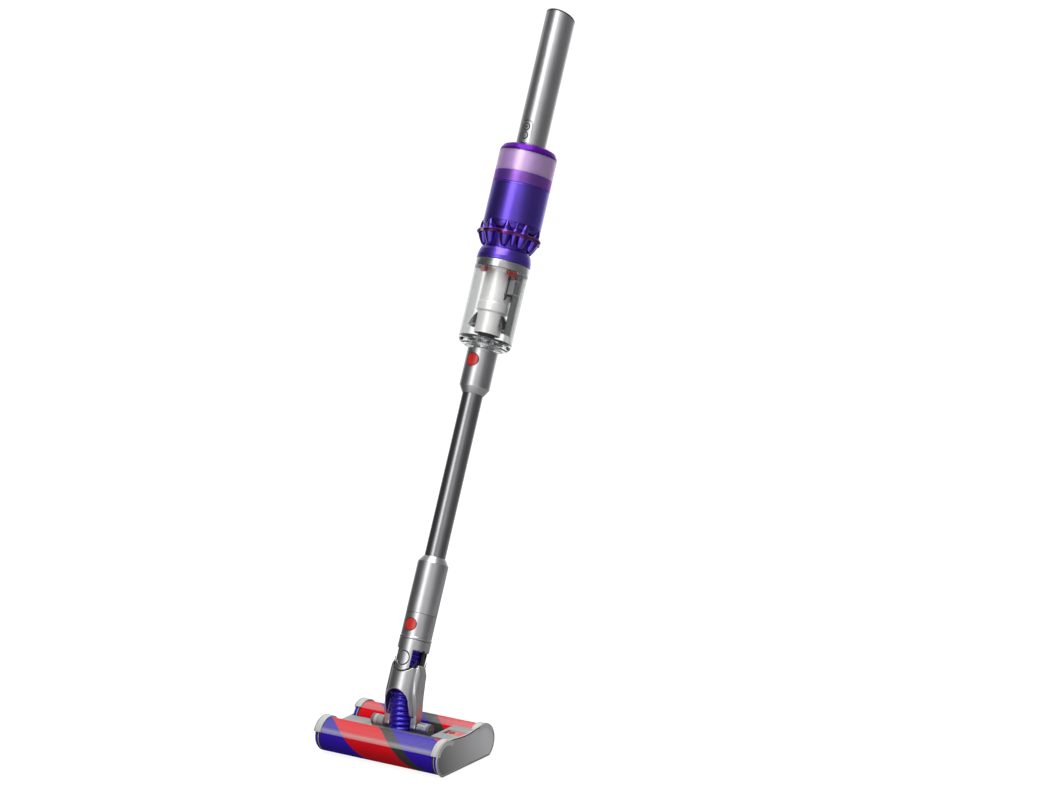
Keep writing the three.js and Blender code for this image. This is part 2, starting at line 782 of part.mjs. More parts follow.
function buttonPanel() {
  const plate = join(
    box(-panelHalf, panelHalf, -30, -handleRadius + 1.8, panelBottom, 850),
    rodY(panelHalf, -30, -handleRadius + 1.8, 0, 850, fine),
  );
  const holes = buttonStations.map((s) => rodY(5.1, -30, 0, 0, s, fine));
  return cut(common(plate, rod(handleRadius - 0.3, 810, 870, round)), ...holes);
}

function handleButton(s) {
  const cap = rodY(4.8, -30, -handleRadius + 0.6, 0, s, fine);
  const stem = rodY(3.1, -handleRadius, -16.6, 0, s, small);
  return join(common(cap, rod(handleRadius + 0.5, s - 10, s + 10, round)), stem);
}

function handleEndCap() {
  const lid = rod(handleRadius, 960, handleTop + 30, round);
  const plug = rod(17.9, 985, handleTop + 30, round);
  const rim = cut(lid, solidBelow(1.3));
  const core = cut(plug, solidBelow(5));
  const socket = box(-3.5, 3.5, -4, 4, 0, 4).rotateX(-endSlope).translate(0, 0, handleTop - 10);
  return cut(join(rim, core), aboveEnd(0), socket);
}

// everything below the slanted end, lowered by the given amount
function solidBelow(lowered) {
  return box(-60, 60, -60, 60, -120, 0).rotateX(-endSlope).translate(0, 0, handleTop - 8 - lowered);
}

function batteryPack() {
  const cells = [];
  for (let layer = 0; layer < 2; layer += 1) {
    for (const side of [-1, 1]) {
      cells.push(rod(8.7, 868 + layer * 66, 933 + layer * 66, small).translate(side * 9, 0, 0));
    }
  }
  const spine = box(-12, 12, -3, 3, 866, 1000);
  return cut(join(...cells, spine), aboveEnd(7));
}

// ---- The stick ----

function stickPieces() {
  const group = new THREE.Group();
  const add = (name, geometry, finishName) => group.add(piece(name, geometry, finishName));
  add('neck_yoke', yoke(), 'nickel');
  add('neck_knuckle', knuckle(), 'nickel');
  add('roll_pin_front', rollPin(-1), 'nickel');
  add('roll_pin_rear', rollPin(1), 'nickel');
  add('hose_upper', hoseUpper(), 'hose');
  add('neck_collar', neckCollar(), 'nickel');
  add('head_release_button', roundButton(headButtonS, redRadius, collarRadius + 0.5), 'red');
  add('lower_collar', lowerCollar(), 'nickel');
  add('wand_tube', wandTube(), 'wandMetal');
  add('upper_collar', upperCollar(), 'nickel');
  add('wand_release_button', roundButton(wandButtonS, redRadius + 0.4, collarRadius + 0.3), 'red');
  add('bin_base', binBase(), 'clear');
  add('bin_shell', binShell(), 'clear');
  add('bin_rim', binRim(), 'silver');
  add('bin_release', binRelease(), 'red');
  add('shroud', shroud(), 'silver');
  add('shroud_skirt', shroudSkirt(), 'black');
  add('inlet_duct', inletDuct(), 'black');
  add('bin_catch_left', binCatch('left'), 'red');
  add('bin_catch_right', binCatch('right'), 'red');
  add('cyclone_collar', cycloneCollar(), 'violet');
  add('cyclone_crown', crown(), 'deepViolet');
  add('crown_ring', crownRing(), 'burgundy');
  add('motor_housing', motorHousing(), 'violet');
  add('motor_stator', motorStator(), 'copper');
  add('motor_rotor', motorRotor(), 'satin');
  add('filter_cover', filterCover(), 'purpleClear');
  add('filter_pleats', filterPleats(), 'pleat');
  add('handle_tube', handleTube(), 'nickel');
  add('button_panel', buttonPanel(), 'satin');
  add('power_button', handleButton(buttonStations[0]), 'satin');
  add('boost_button', handleButton(buttonStations[1]), 'satin');
  add('handle_end_cap', handleEndCap(), 'darkPlastic');
  add('battery_pack', batteryPack(), 'cell');
  return group;
}

const stick = stickPieces();
stick.position.copy(foot);
stick.rotation.x = -lean;

const vacuum = new THREE.Group();
vacuum.add(headPieces(), stick);
vacuum.updateMatrixWorld(true);

// the origin is on the floor under the middle of the whole machine's box
const bounds = new THREE.Box3().setFromObject(vacuum, true);
const middle = bounds.getCenter(new THREE.Vector3());
const machine = new THREE.Group();
vacuum.position.set(-middle.x, -middle.y, -bounds.min.z);
machine.add(vacuum);

export default machine;
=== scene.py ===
"""Looks for the cordless stick vacuum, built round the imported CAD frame. Metres, Z up.

Shapes are written in millimetres in one of two frames: the floor head's own (x across, -y forwards,
z up from the floor) and the stick's own (z along the stick from its foot point, -y its front)."""

import itertools
import json
import math

import bmesh
import bpy
from mathutils import Matrix, Vector, noise


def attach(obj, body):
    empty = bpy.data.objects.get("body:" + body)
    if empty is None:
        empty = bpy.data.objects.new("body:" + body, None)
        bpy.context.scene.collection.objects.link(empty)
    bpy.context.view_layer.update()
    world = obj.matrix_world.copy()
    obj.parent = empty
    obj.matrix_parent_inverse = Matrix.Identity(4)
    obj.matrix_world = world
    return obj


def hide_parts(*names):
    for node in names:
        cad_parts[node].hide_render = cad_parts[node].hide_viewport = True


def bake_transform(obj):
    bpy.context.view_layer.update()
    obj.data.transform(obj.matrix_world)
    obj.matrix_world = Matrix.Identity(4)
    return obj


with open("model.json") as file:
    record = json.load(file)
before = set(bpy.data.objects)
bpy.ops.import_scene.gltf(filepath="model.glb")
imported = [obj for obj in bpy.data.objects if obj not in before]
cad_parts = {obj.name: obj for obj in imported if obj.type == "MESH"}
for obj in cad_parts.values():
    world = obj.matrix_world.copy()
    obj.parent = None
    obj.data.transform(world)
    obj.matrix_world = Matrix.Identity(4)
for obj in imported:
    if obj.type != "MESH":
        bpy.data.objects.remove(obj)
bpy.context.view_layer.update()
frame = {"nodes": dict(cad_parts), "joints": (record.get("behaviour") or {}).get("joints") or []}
TURN = 2 * math.pi

# ---- The two frames ----

joints = {j["name"]: j for j in frame["joints"]}
along = Vector(joints["filter_twist"]["axis"]).normalized()
rearward = Vector(joints["neck_roll"]["axis"]).normalized()
foot = Vector(joints["neck_roll"]["pos_m"]) - along * 0.089
STICK = Matrix.Translation(foot) @ Matrix((Vector((1, 0, 0)), rearward, along)).transposed().to_4x4()
pivot = Vector(joints["neck_pitch"]["pos_m"])
HEAD = Matrix.Translation(Vector((0, pivot.y + 0.003, 0)))
ROLLER_Y, ROLLER_Z = 44.2, 24.3


# ---- Materials ----

class Nodes:
    """A short hand for building one material's node tree."""

    def __init__(self, name):
        self.material = bpy.data.materials.new(name)
        self.material.use_nodes = True
        self.tree = self.material.node_tree
        self.shader = self.tree.nodes["Principled BSDF"]
        self.output = self.tree.nodes["Material Output"]
        self.place = self.add("ShaderNodeTexCoord").outputs["Object"]

    def add(self, kind, **settings):
        node = self.tree.nodes.new(kind)
        for key, value in settings.items():
            setattr(node, key, value)
        return node

    def link(self, source, target):
        if isinstance(source, (int, float, tuple)):
            target.default_value = source
        else:
            self.tree.links.new(source, target)

    def maths(self, operation, a, b=0.0, c=0.0):
        node = self.add("ShaderNodeMath", operation=operation)
        for socket, value in zip(node.inputs, (a, b, c)):
            self.link(value, socket)
        return node.outputs[0]

    def times(self, a, b):
        return self.maths("MULTIPLY", a, b)

    def plus(self, a, b):
        return self.maths("ADD", a, b)

    def minus(self, a, b):
        return self.maths("SUBTRACT", a, b)

    def stretched(self, x, y, z):
        """Object coordinates in millimetres, stretched by a factor along each axis."""
        node = self.add("ShaderNodeMapping")
        self.link(self.place, node.inputs["Vector"])
        node.inputs["Scale"].default_value = (1000 * x, 1000 * y, 1000 * z)
        return node.outputs[0]

    def noise(self, scale, detail=3.0, stretch=(1, 1, 1), rough=0.5):
        node = self.add("ShaderNodeTexNoise")
        self.link(self.stretched(*stretch), node.inputs["Vector"])
        node.inputs["Scale"].default_value = scale
        node.inputs["Detail"].default_value = detail
        node.inputs["Roughness"].default_value = rough
        return node.outputs["Fac"]

    def spread(self, value, low, high, from_low=0.3, from_high=0.7):
        node = self.add("ShaderNodeMapRange")
        self.link(value, node.inputs["Value"])
        limits = {"From Min": from_low, "From Max": from_high, "To Min": low, "To Max": high}
        for key, number in limits.items():
            node.inputs[key].default_value = number
        return node.outputs["Result"]

    def ramp(self, value, stops, interpolation="LINEAR"):
        node = self.add("ShaderNodeValToRGB")
        self.link(value, node.inputs["Fac"])
        ramp = node.color_ramp
        ramp.interpolation = interpolation
        while len(ramp.elements) < len(stops):
            ramp.elements.new(0.5)
        for element, (position, color) in zip(ramp.elements, stops):
            element.position = position
            element.color = (*color, 1)
        return node.outputs["Color"]

    def mix(self, share, a, b):
        node = self.add("ShaderNodeMix", data_type="RGBA")
        self.link(share, node.inputs["Factor"])
        for socket, value in ((node.inputs["A"], a), (node.inputs["B"], b)):
            self.link((*value, 1) if isinstance(value, tuple) else value, socket)
        return node.outputs["Result"]

    def split(self):
        node = self.add("ShaderNodeSeparateXYZ")
        self.link(self.place, node.inputs[0])
        return node.outputs

    def bump(self, height, strength, distance=0.0002):
        node = self.add("ShaderNodeBump")
        node.inputs["Strength"].default_value = strength
        node.inputs["Distance"].default_value = distance
        self.link(height, node.inputs["Height"])
        self.link(node.outputs["Normal"], self.shader.inputs["Normal"])

    def set(self, **values):
        for key, value in values.items():
            self.link(value, self.shader.inputs[key.replace("_", " ")])

    def see_through(self, share, color):
        """Lets light straight through wherever the share is below 1."""
        through = self.add("ShaderNodeBsdfTransparent")
        self.link(color, through.inputs["Color"])
        mixed = self.add("ShaderNodeMixShader")
        self.link(share, mixed.inputs[0])
        self.link(through.outputs[0], mixed.inputs[1])
        self.link(self.shader.outputs[0], mixed.inputs[2])
        self.link(mixed.outputs[0], self.output.inputs["Surface"])


def shade(color, factor):
    return tuple(min(1.0, c * factor) for c in color)


def solid(name, color, rough, grain=0.06, grain_scale=2.2, mottle=0.10, scratch=0.04, **sockets):
    """Moulded or coated surface: slow colour drift, fine grain, hairline scuffs and uneven gloss."""
    n = Nodes(name)
    drift = n.noise(0.035, 2)
    fine = n.noise(grain_scale, 3)
    hairs = n.noise(0.5, 4, (1.0, 1.0, 0.03), 0.7)
    tone = n.mix(n.spread(drift, 0, 1), shade(color, 1 - mottle), shade(color, 1 + mottle))
    scuffed = n.mix(n.spread(hairs, 0, scratch, 0.62, 0.75), tone, shade(color, 1.6))
    n.set(Base_Color=scuffed)
    scuffs = n.spread(hairs, 0, scratch * 2, 0.55, 0.75)
    gloss = n.plus(n.spread(drift, rough * 0.9, rough * 1.1), scuffs)
    n.set(Roughness=gloss, **sockets)
    n.bump(n.plus(fine, n.times(hairs, 0.5)), grain, 0.0001)
    return n.material


def metal(name, color, rough, brush=(1, 1, 0.02), grain=0.05, drift_by=0.06, **sockets):
    """Metallic coating with a fine brushed grain along the stick."""
    n = Nodes(name)
    drift = n.noise(0.03, 2)
    lines = n.noise(1.8, 4, brush, 0.65)
    specks = n.noise(4.5, 2)
    n.set(Base_Color=n.mix(n.spread(drift, 0, 1), shade(color, 1 - drift_by), shade(color, 1 + drift_by)))
    gloss = n.plus(n.spread(lines, rough * 0.85, rough * 1.15), n.spread(specks, 0, 0.03))
    n.set(Roughness=gloss, Metallic=1.0, **sockets)
    n.bump(n.plus(lines, n.times(specks, 0.4)), grain, 0.00006)
    return n.material


def clear(name, tint, edge=None, body=0.03, body_color=(0.8, 0.85, 0.88), gain=1.0, metallic=0.0, rough=0.03):
    """Thin clear moulding: see-through, darker where the wall turns away, with gloss and fine ripples."""
    n = Nodes(name)
    ripple = n.noise(0.09, 2)
    hairs = n.noise(0.7, 4, (1, 1, 0.05), 0.7)
    n.set(Base_Color=n.mix(n.spread(ripple, 0, 1), shade(body_color, 0.92), body_color))
    n.set(Roughness=n.spread(hairs, rough, rough + 0.05, 0.55, 0.75))
    n.bump(ripple, 0.12, 0.0004)
    turned_away = n.add("ShaderNodeLayerWeight")
    turned_away.inputs["Blend"].default_value = 0.35
    color = n.mix(n.maths("POWER", turned_away.outputs["Facing"], 2.0), tint, edge or tint)
    fresnel = n.add("ShaderNodeFresnel")
    fresnel.inputs["IOR"].default_value = 1.46
    n.see_through(n.maths("MINIMUM", n.maths("MULTIPLY_ADD", fresnel.outputs[0], gain, body), 0.94), color)
    n.set(Specular_IOR_Level=1.0, Metallic=metallic)
    return n.material


def refractive(name, color, rough=0.02, ior=1.5):
    """Thick clear moulding that bends what is behind it."""
    n = Nodes(name)
    ripple = n.noise(0.12, 2)
    n.set(Base_Color=n.mix(n.spread(ripple, 0, 1), shade(color, 0.95), color))
    n.set(Roughness=n.spread(n.noise(0.8, 3), rough, rough + 0.04, 0.5, 0.75))
    n.set(Transmission_Weight=1.0, IOR=ior)
    n.bump(ripple, 0.15, 0.0005)
    return n.material


def hood_with_painted_reflection(name):
    """The roller hoods' clear moulding with a painted reflection: a whitish veil laid on by angle round the
    roller, whiter towards the edge that looks outwards.
    """
    n = Nodes(name)
    _, y, z = n.split()
    outward = n.minus(n.times(n.maths("ABSOLUTE", y), 1000.0), ROLLER_Y)
    height = n.minus(n.times(z, 1000.0), ROLLER_Z)
    half_turns = n.times(n.maths("ARCTAN2", height, outward), 1 / math.pi)
    # Painted reflection: the veil is strongest just above the hood's outward edge, faintest near the top, and
    # a little stronger again towards the inner edge.
    reflection_levels = ((0.11, 0.12), (0.17, 0.17), (0.23, 0.055), (0.45, 0.025), (0.62, 0.09))
    painted_reflection = n.ramp(half_turns, [(place, (level, level, level)) for place, level in reflection_levels])
    streaks = n.spread(n.noise(0.16, 3, (0.04, 1.0, 1.0)), 0.8, 1.15)
    n.see_through(n.times(painted_reflection, streaks), (0.985, 0.985, 0.985, 1))
    n.set(Base_Color=n.mix(n.noise(0.09, 2), (0.86, 0.86, 0.88), (0.95, 0.95, 0.97)))
    n.set(Roughness=n.spread(n.noise(0.7, 3), 0.08, 0.14), Specular_IOR_Level=1.0)
    return n.material


def felt(name):
    """Short nap in one spiral each of red, dark grey and violet, with plain rings near both ends."""
    n = Nodes(name)
    x, y, z = n.split()
    angle = n.times(n.maths("ARCTAN2", z, n.times(y, -1.0)), 180 / math.pi)
    fuzz = n.noise(0.55, 4, rough=0.6)
    wander = n.times(n.minus(fuzz, 0.5), 1.6)
    lead = 172.8
    shift = n.times(n.minus(15.0, angle), lead / 360)
    place = n.minus(n.times(x, 1000.0), shift)
    place = n.plus(n.plus(place, wander), 52.0 + lead * 4)
    phase = n.maths("FRACT", n.maths("DIVIDE", place, lead))
    violet, red, grey = (0.03, 0.008, 0.37), (0.66, 0.004, 0.012), (0.042, 0.040, 0.036)
    bands = n.ramp(phase, [(0.0, red), (0.457, grey), (0.575, violet)], "CONSTANT")
    nap = n.noise(1.4, 5, rough=0.7)
    tone = n.mix(n.spread(nap, 0.0, 1.0), bands, (0, 0, 0))
    shaded = n.mix(0.28, bands, tone)
    distance = n.times(n.maths("ABSOLUTE", x), 1000.0)
    for start, color in ((93.6, (0.03, 0.03, 0.03)), (96.2, (0.45, 0.44, 0.42)), (97.2, violet)):
        shaded = n.mix(n.maths("GREATER_THAN", distance, start), shaded, color)
    n.set(Base_Color=shaded, Roughness=n.spread(nap, 0.62, 0.85), Specular_IOR_Level=0.04)
    n.bump(n.plus(nap, n.times(fuzz, 0.8)), 0.5, 0.0004)
    return n.material


def graded(name, front, rear, rough, length):
    """A satin face with painted light: it grows lighter from its front end to its rear end and upwards, as
    light falls across it; length in millimetres.
    """
    n = Nodes(name)
    _, y, z = n.split()
    # Painted light: the colour runs from the front colour to the rear colour along this slant.
    place = n.plus(n.times(y, 1000.0), n.times(z, 450.0))
    drift = n.times(n.minus(n.noise(0.05, 3), 0.5), 8.0)
    share = n.spread(n.plus(place, drift), 0.0, 1.0, -length / 2, length / 2)
    n.set(Base_Color=n.mix(share, front, rear))
    n.set(Roughness=n.spread(n.noise(1.6, 3), rough * 0.9, rough * 1.1), Specular_IOR_Level=0.3)
    n.bump(n.noise(2.4, 3), 0.05, 0.0001)
    return n.material


def pleated(name):
    """Filter paper behind a fine diagonal support mesh."""
    n = Nodes(name)
    x, y, z = n.split()
    turn = n.times(n.maths("ARCTAN2", y, x), 38.0)
    height = n.times(z, 1000.0)
    lines = None
    for slope in (1.0, -1.0):
        slanted = n.plus(turn, n.times(height, slope))
        wave = n.maths("SINE", n.times(slanted, 2.3))
        lines = wave if lines is None else n.maths("MAXIMUM", lines, wave)
    mesh = n.spread(lines, 0.0, 1.0, 0.55, 0.95)
    fibre = n.noise(1.5, 4, rough=0.7)
    paper = n.mix(n.spread(fibre, 0, 1), (0.80, 0.55, 0.98), (0.94, 0.74, 1.0))
    n.set(Base_Color=n.mix(n.times(mesh, 0.5), paper, (0.36, 0.20, 0.55)))
    n.set(Roughness=n.spread(fibre, 0.6, 0.8))
    n.bump(n.plus(mesh, fibre), 0.3, 0.0002)
    return n.material


NICKEL = metal("nickel_coat", (0.53, 0.53, 0.545), 0.31)
WAND = metal("wand_anodised", (0.33, 0.33, 0.345), 0.20)
SILVER = solid("silver_coat", (0.53, 0.53, 0.515), 0.34, mottle=0.03, Metallic=0.25)
RIM = metal("rim_silver", (0.62, 0.62, 0.62), 0.22, brush=(1, 1, 1))
SHROUD = solid("shroud_white", (0.90, 0.90, 0.89), 0.36, mottle=0.03, Metallic=0.40)
STEEL = metal("pin_steel", (0.66, 0.67, 0.67), 0.34, brush=(1, 1, 1))
BARREL = solid("barrel_grey", (0.42, 0.45, 0.44), 0.34, Metallic=0.2)
PEWTER = solid("pin_pewter", (0.17, 0.17, 0.175), 0.3, Metallic=0.3)
COPPER = metal("copper_winding", (0.85, 0.45, 0.25), 0.35, brush=(1, 1, 12), grain=0.5)
VIOLET = metal("violet_metallic", (0.13, 0.07, 0.56), 0.30, brush=(1, 1, 1), Coat_Weight=0.35,
               Coat_Roughness=0.08)
CONE = metal("deep_violet_gloss", (0.085, 0.035, 0.40), 0.24, brush=(1, 1, 1), Coat_Weight=0.5,
             Coat_Roughness=0.05)
BURGUNDY = metal("burgundy_gloss", (0.15, 0.02, 0.16), 0.25, brush=(1, 1, 1), Coat_Weight=0.5,
                 Coat_Roughness=0.06)
SATIN = solid("satin_grey", (0.42, 0.42, 0.43), 0.36, mottle=0.04, Metallic=0.45)
# Painted light: the end panel is painted dark at its front and light at its rear and top.
PANEL_PAINTED_LIGHT = graded("end_panel_painted_light", (0.13, 0.13, 0.13), (0.60, 0.60, 0.62), 0.42, 120)
DECK = solid("deck_grey", (0.25, 0.26, 0.26), 0.5, grain=0.12)
DARK = solid("dark_plastic", (0.022, 0.022, 0.025), 0.42, grain=0.15)
BLACK = solid("matt_black", (0.010, 0.010, 0.012), 0.55, grain=0.2)
RUBBER = solid("soft_rubber", (0.018, 0.018, 0.02), 0.62, grain=0.25)
RED = solid("red_plastic", (0.50, 0.011, 0.009), 0.26, grain=0.05, Coat_Weight=0.3, Coat_Roughness=0.1)
LATCH = solid("latch_red", (0.56, 0.13, 0.12), 0.30, grain=0.05)
WINE = solid("deep_red_plastic", (0.20, 0.004, 0.006), 0.35)
HOSE = solid("hose_violet", (0.030, 0.010, 0.42), 0.18, grain=0.03, Metallic=0.6, Coat_Weight=0.35,
             Coat_Roughness=0.05)
CELL = solid("battery_wrap", (0.03, 0.22, 0.09), 0.35)
PURPLE = solid("filter_purple", (0.085, 0.004, 0.25), 0.24, grain=0.03, Metallic=0.55,
               Specular_IOR_Level=0.15)
FELT = felt("roller_felt")
PLEAT = pleated("filter_paper")
# The roller hoods carry a painted reflection as a whitish veil.
CLEAR = hood_with_painted_reflection("clear_hood")
BIN = clear("clear_bin", (0.995, 0.995, 0.995), (0.94, 0.945, 0.945), 0.008, (0.4, 0.42, 0.42), 0.4)
LILAC = clear("clear_lilac", (0.98, 0.89, 1.0), (0.74, 0.50, 0.98), 0.28, (0.95, 0.84, 1.0), 0.5, 0.85, 0.34)
HAZE = clear("clear_haze", (0.80, 0.81, 0.81), body=0.05, body_color=(0.3, 0.31, 0.31))
BASE = refractive("clear_base", (0.93, 0.94, 0.94))
SMOKE = solid("smoke_grey", (0.022, 0.022, 0.024), 0.14, grain=0.02, Coat_Weight=0.5, Coat_Roughness=0.04)
BAND_TINT = clear("clear_purple", (0.46, 0.02, 0.86), (0.22, 0.01, 0.50), 0.30, (0.74, 0.34, 1.0), 0.5,
                  0.95, 0.33)
FOOT = solid("filter_foot_violet", (0.42, 0.03, 0.86), 0.4)
LILAC_SOLID = solid("lilac_frame", (0.72, 0.60, 0.85), 0.3)


# ---- Shapes ----

def soften(points, radius=0.6, steps=4, closed=True):
    """Rounds the corners of an outline; a point may carry its own radius as a third number."""
    out = []
    count = len(points)
    for i, point in enumerate(points):
        here = Vector(point[:2])
        size = point[2] if len(point) > 2 else radius
        a = Vector(points[i - 1][:2]) - here
        b = Vector(points[(i + 1) % count][:2]) - here
        end = not closed and i in (0, count - 1)
        if end or size <= 0 or a.length < 1e-6 or b.length < 1e-6 or a.angle(b) > math.pi - 0.04:
            out.append(here)
            continue
        reach = min(size / math.tan(a.angle(b) / 2), a.length * 0.49, b.length * 0.49)
        start, stop = here + a.normalized() * reach, here + b.normalized() * reach
        for k in range(steps + 1):
            t = k / steps
            out.append(start * (1 - t) ** 2 + here * 2 * t * (1 - t) + stop * t * t)
    return out


def circle(radius, count, centre=(0.0, 0.0)):
    """Points evenly spaced round a circle."""
    return [(centre[0] + radius * math.cos(k * TURN / count), centre[1] + radius * math.sin(k * TURN / count))
            for k in range(count)]


def joined(shape, rings, closed=False):
    """Faces between neighbouring rings of vertices, and from the last to the first when closed."""
    pairs = list(zip(rings, rings[1:]))
    if closed:
        pairs.append((rings[-1], rings[0]))
    for low, high in pairs:
        below, above = len(low), len(high)
        for k in range(max(below, above)):
            corners = [low[k % below], low[(k + 1) % below], high[(k + 1) % above], high[k % above]]
            corners = list(dict.fromkeys(corners))
            if len(corners) > 2:
                shape.faces.new(corners)
    bmesh.ops.recalc_face_normals(shape, faces=shape.faces)
    return shape


def lathe(points, segments=128):
    """A solid of revolution about z from [radius, z] points, closed on itself or at the axis."""
    shape = bmesh.new()
    rings = []
    for radius, z in points:
        around = [(0, 0)] if radius < 1e-5 else circle(radius, segments)
        rings.append([shape.verts.new((x, y, z)) for x, y in around])
    return joined(shape, rings, True)


def spun(points, radius=0.6, segments=128):
    """A lathe whose outline is given as corners to be rounded."""
    return lathe(soften(points, radius), segments)


def ring(inner, outer, low, high, radius=0.0, segments=128):
    """A straight tube about z, or a bar where the inner radius is 0."""
    return spun([(inner, low), (outer, low), (outer, high), (inner, high)], radius, segments)


def rounded(x0, x1, y0, y1, radius):
    """A rectangle's outline with round corners."""
    return soften([(x0, y0), (x1, y0), (x1, y1), (x0, y1)], radius)


def prism(outline, low, high, axis="x"):
    """An outline in the other two axes, in their order, given thickness along one axis."""
    shape = bmesh.new()
    order = {"x": (2, 0, 1), "y": (0, 2, 1), "z": (0, 1, 2)}[axis]
    ends = [[shape.verts.new([(p[0], p[1], t)[i] for i in order]) for p in outline] for t in (low, high)]
    for end in ends:
        shape.faces.new(end)
    count = len(outline)
    for i in range(count):
        shape.faces.new([ends[0][i], ends[0][(i + 1) % count], ends[1][(i + 1) % count], ends[1][i]])
    bmesh.ops.recalc_face_normals(shape, faces=shape.faces)
    return shape


def block(x0, x1, y0, y1, z0, z1):
    return prism([(x0, y0), (x1, y0), (x1, y1), (x0, y1)], z0, z1, "z")


def disc(radius, low, high, axis, a=0.0, b=0.0, segments=72):
    """A round bar along an axis, centred at a, b in the other two."""
    return prism(circle(radius, segments, (a, b)), low, high, axis)


def arc(radius, start, stop, count=24, centre=(0.0, 0.0)):
    """Points on a circle between two bearings in degrees."""
    angles = [math.radians(start + (stop - start) * k / count) for k in range(count + 1)]
    return [(centre[0] + radius * math.cos(t), centre[1] + radius * math.sin(t)) for t in angles]


def moved(shape, matrix):
    bmesh.ops.transform(shape, matrix=matrix, verts=shape.verts)
    if matrix.determinant() < 0:
        bmesh.ops.reverse_faces(shape, faces=shape.faces)
    return shape


def turned(shape, degrees, axis="Z", about=(0, 0, 0)):
    centre = Matrix.Translation(about)
    return moved(shape, centre @ Matrix.Rotation(math.radians(degrees), 4, axis) @ centre.inverted())


def shifted(shape, x=0, y=0, z=0):
    return moved(shape, Matrix.Translation((x, y, z)))


def loose(shape, name="tool"):
    mesh = bpy.data.meshes.new(name)
    shape.to_mesh(mesh)
    shape.free()
    return new_object(name, mesh)


def combined(shape, others, operation):
    """One boolean for each of the other shapes; they are used up."""
    base = loose(shape)
    for other in others:
        tool = loose(other)
        step = base.modifiers.new("step", "BOOLEAN")
        step.operation, step.solver, step.object = operation, "EXACT", tool
        bpy.context.view_layer.update()
        done = bpy.data.meshes.new_from_object(base.evaluated_get(bpy.context.evaluated_depsgraph_get()))
        base.modifiers.clear()
        base.data = done
        bpy.data.objects.remove(tool)
    result = bmesh.new()
    result.from_mesh(base.data)
    bpy.data.objects.remove(base)
    bmesh.ops.remove_doubles(result, verts=result.verts, dist=0.0005)
    return result


def cut(shape, *tools):
    return combined(shape, tools, "DIFFERENCE")


def common(shape, *others):
    return combined(shape, others, "INTERSECT")


def fused(shape, *others):
    return combined(shape, others, "UNION")


def together(*shapes):
    """Several separate shells kept in one piece."""
    whole = bmesh.new()
    for shape in shapes:
        mesh = bpy.data.meshes.new("part")
        shape.to_mesh(mesh)
        shape.free()
        whole.from_mesh(mesh)
        bpy.data.meshes.remove(mesh)
    return whole


def swept(path, section, closed=False):
    """A section, as [across, up] points, carried along a path of points; closed joins its ends."""
    shape = bmesh.new()
    rings = []
    count = len(path)
    for i, point in enumerate(path):
        after = path[(i + 1) % count] if closed or i < count - 1 else point
        before = path[i - 1] if closed or i > 0 else point
        run = (after - before).normalized()
        side = run.cross(Vector((0, 0, 1)))
        side = Vector((1, 0, 0)) if side.length < 1e-4 else side.normalized()
        up = side.cross(run)
        outline = section(i / count) if callable(section) else section
        rings.append([shape.verts.new(point + side * a + up * b) for a, b in outline])
    if not closed:
        shape.faces.new(rings[0])
        shape.faces.new(rings[-1])
    return joined(shape, rings, closed)


def new_object(name, mesh):
    made = bpy.data.objects.new(name, mesh)
    bpy.context.scene.collection.objects.link(made)
    return made


def piece(name, shape, where, body, material, bevel=0.0, sharp=32, node=None, slot=None, origin=(0, 0, 0)):
    """Turns a shape in millimetres into an object in its place, riding on its body."""
    moved(shape, Matrix.Translation(-Vector(origin)))
    moved(shape, Matrix.Scale(0.001, 4))
    mesh = bpy.data.meshes.new(name)
    shape.to_mesh(mesh)
    shape.free()
    mesh.shade_smooth()
    mesh.set_sharp_from_angle(angle=math.radians(sharp))
    mesh.materials.append(material)
    made = new_object(name, mesh)
    made.matrix_world = where @ Matrix.Translation(Vector(origin) * 0.001)
    if bevel:
        rounding = made.modifiers.new("edges", "BEVEL")
        rounding.width, rounding.segments = bevel * 0.001, 3
        rounding.limit_method, rounding.angle_limit = "ANGLE", math.radians(sharp)
        rounding.harden_normals = True
    if body:
        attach(made, body)
    if node:
        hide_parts(node)
    return made


def skin(name, shape, body, material, **settings):
    """A piece of the stick with smooth round walls and crisp edges."""
    return piece(name, shape, STICK, body, material, sharp=38, **settings)


# ---- Floor head ----

END, BAND, PLATE = 104.0, 93.0, 102.2
HOOD_FROM, HOOD_TO = 21, 130
ENDS, SIDES = ((-1, "front"), (1, "rear")), ((-1, "left"), (1, "right"))
PIN_Y, PIN_Z = -3, 43.4


def over_roller(side, radius, start, stop, count=40):
    """Points over a roller from its outward horizontal; side is -1 in front and 1 behind."""
    points = arc(radius, start, stop, count)
    return [(side * (ROLLER_Y + y), ROLLER_Z + z) for y, z in points]


def hood_shell(side, outer, inner, low, high, start=HOOD_FROM, stop=HOOD_TO):
    outline = over_roller(side, outer, start, stop) + over_roller(side, inner, start, stop)[::-1]
    return prism(outline, low, high)


def end_outline(radius, middle_top, bottom, dip=1.3):
    drop = math.degrees(math.asin((ROLLER_Z - bottom) / radius))
    if middle_top > ROLLER_Z + radius - 6:
        half = over_roller(1, radius, -drop, 90, 48)
        y, z = half[-1]
        steps = [k / 24 for k in range(1, 24)]
        half += [(y * (1 - t), z + (middle_top + 0.6 - z) * t * t * (3 - 2 * t)) for t in steps]
    else:
        rise = math.degrees(math.asin((middle_top + dip - ROLLER_Z) / radius))
        half = over_roller(1, radius, -drop, 180 - rise, 48)
        half += arc_corner(half[-1], (half[-1][0] - 5, middle_top))
    return half + [(-y, z) for y, z in half][::-1]


def arc_corner(a, b, count=8):
    """A soft step from a down to b, level at b."""
    return [(a[0] + (b[0] - a[0]) * t, b[1] + (a[1] - b[1]) * (1 - t) ** 2)
            for t in [k / count for k in range(1, count + 1)]]


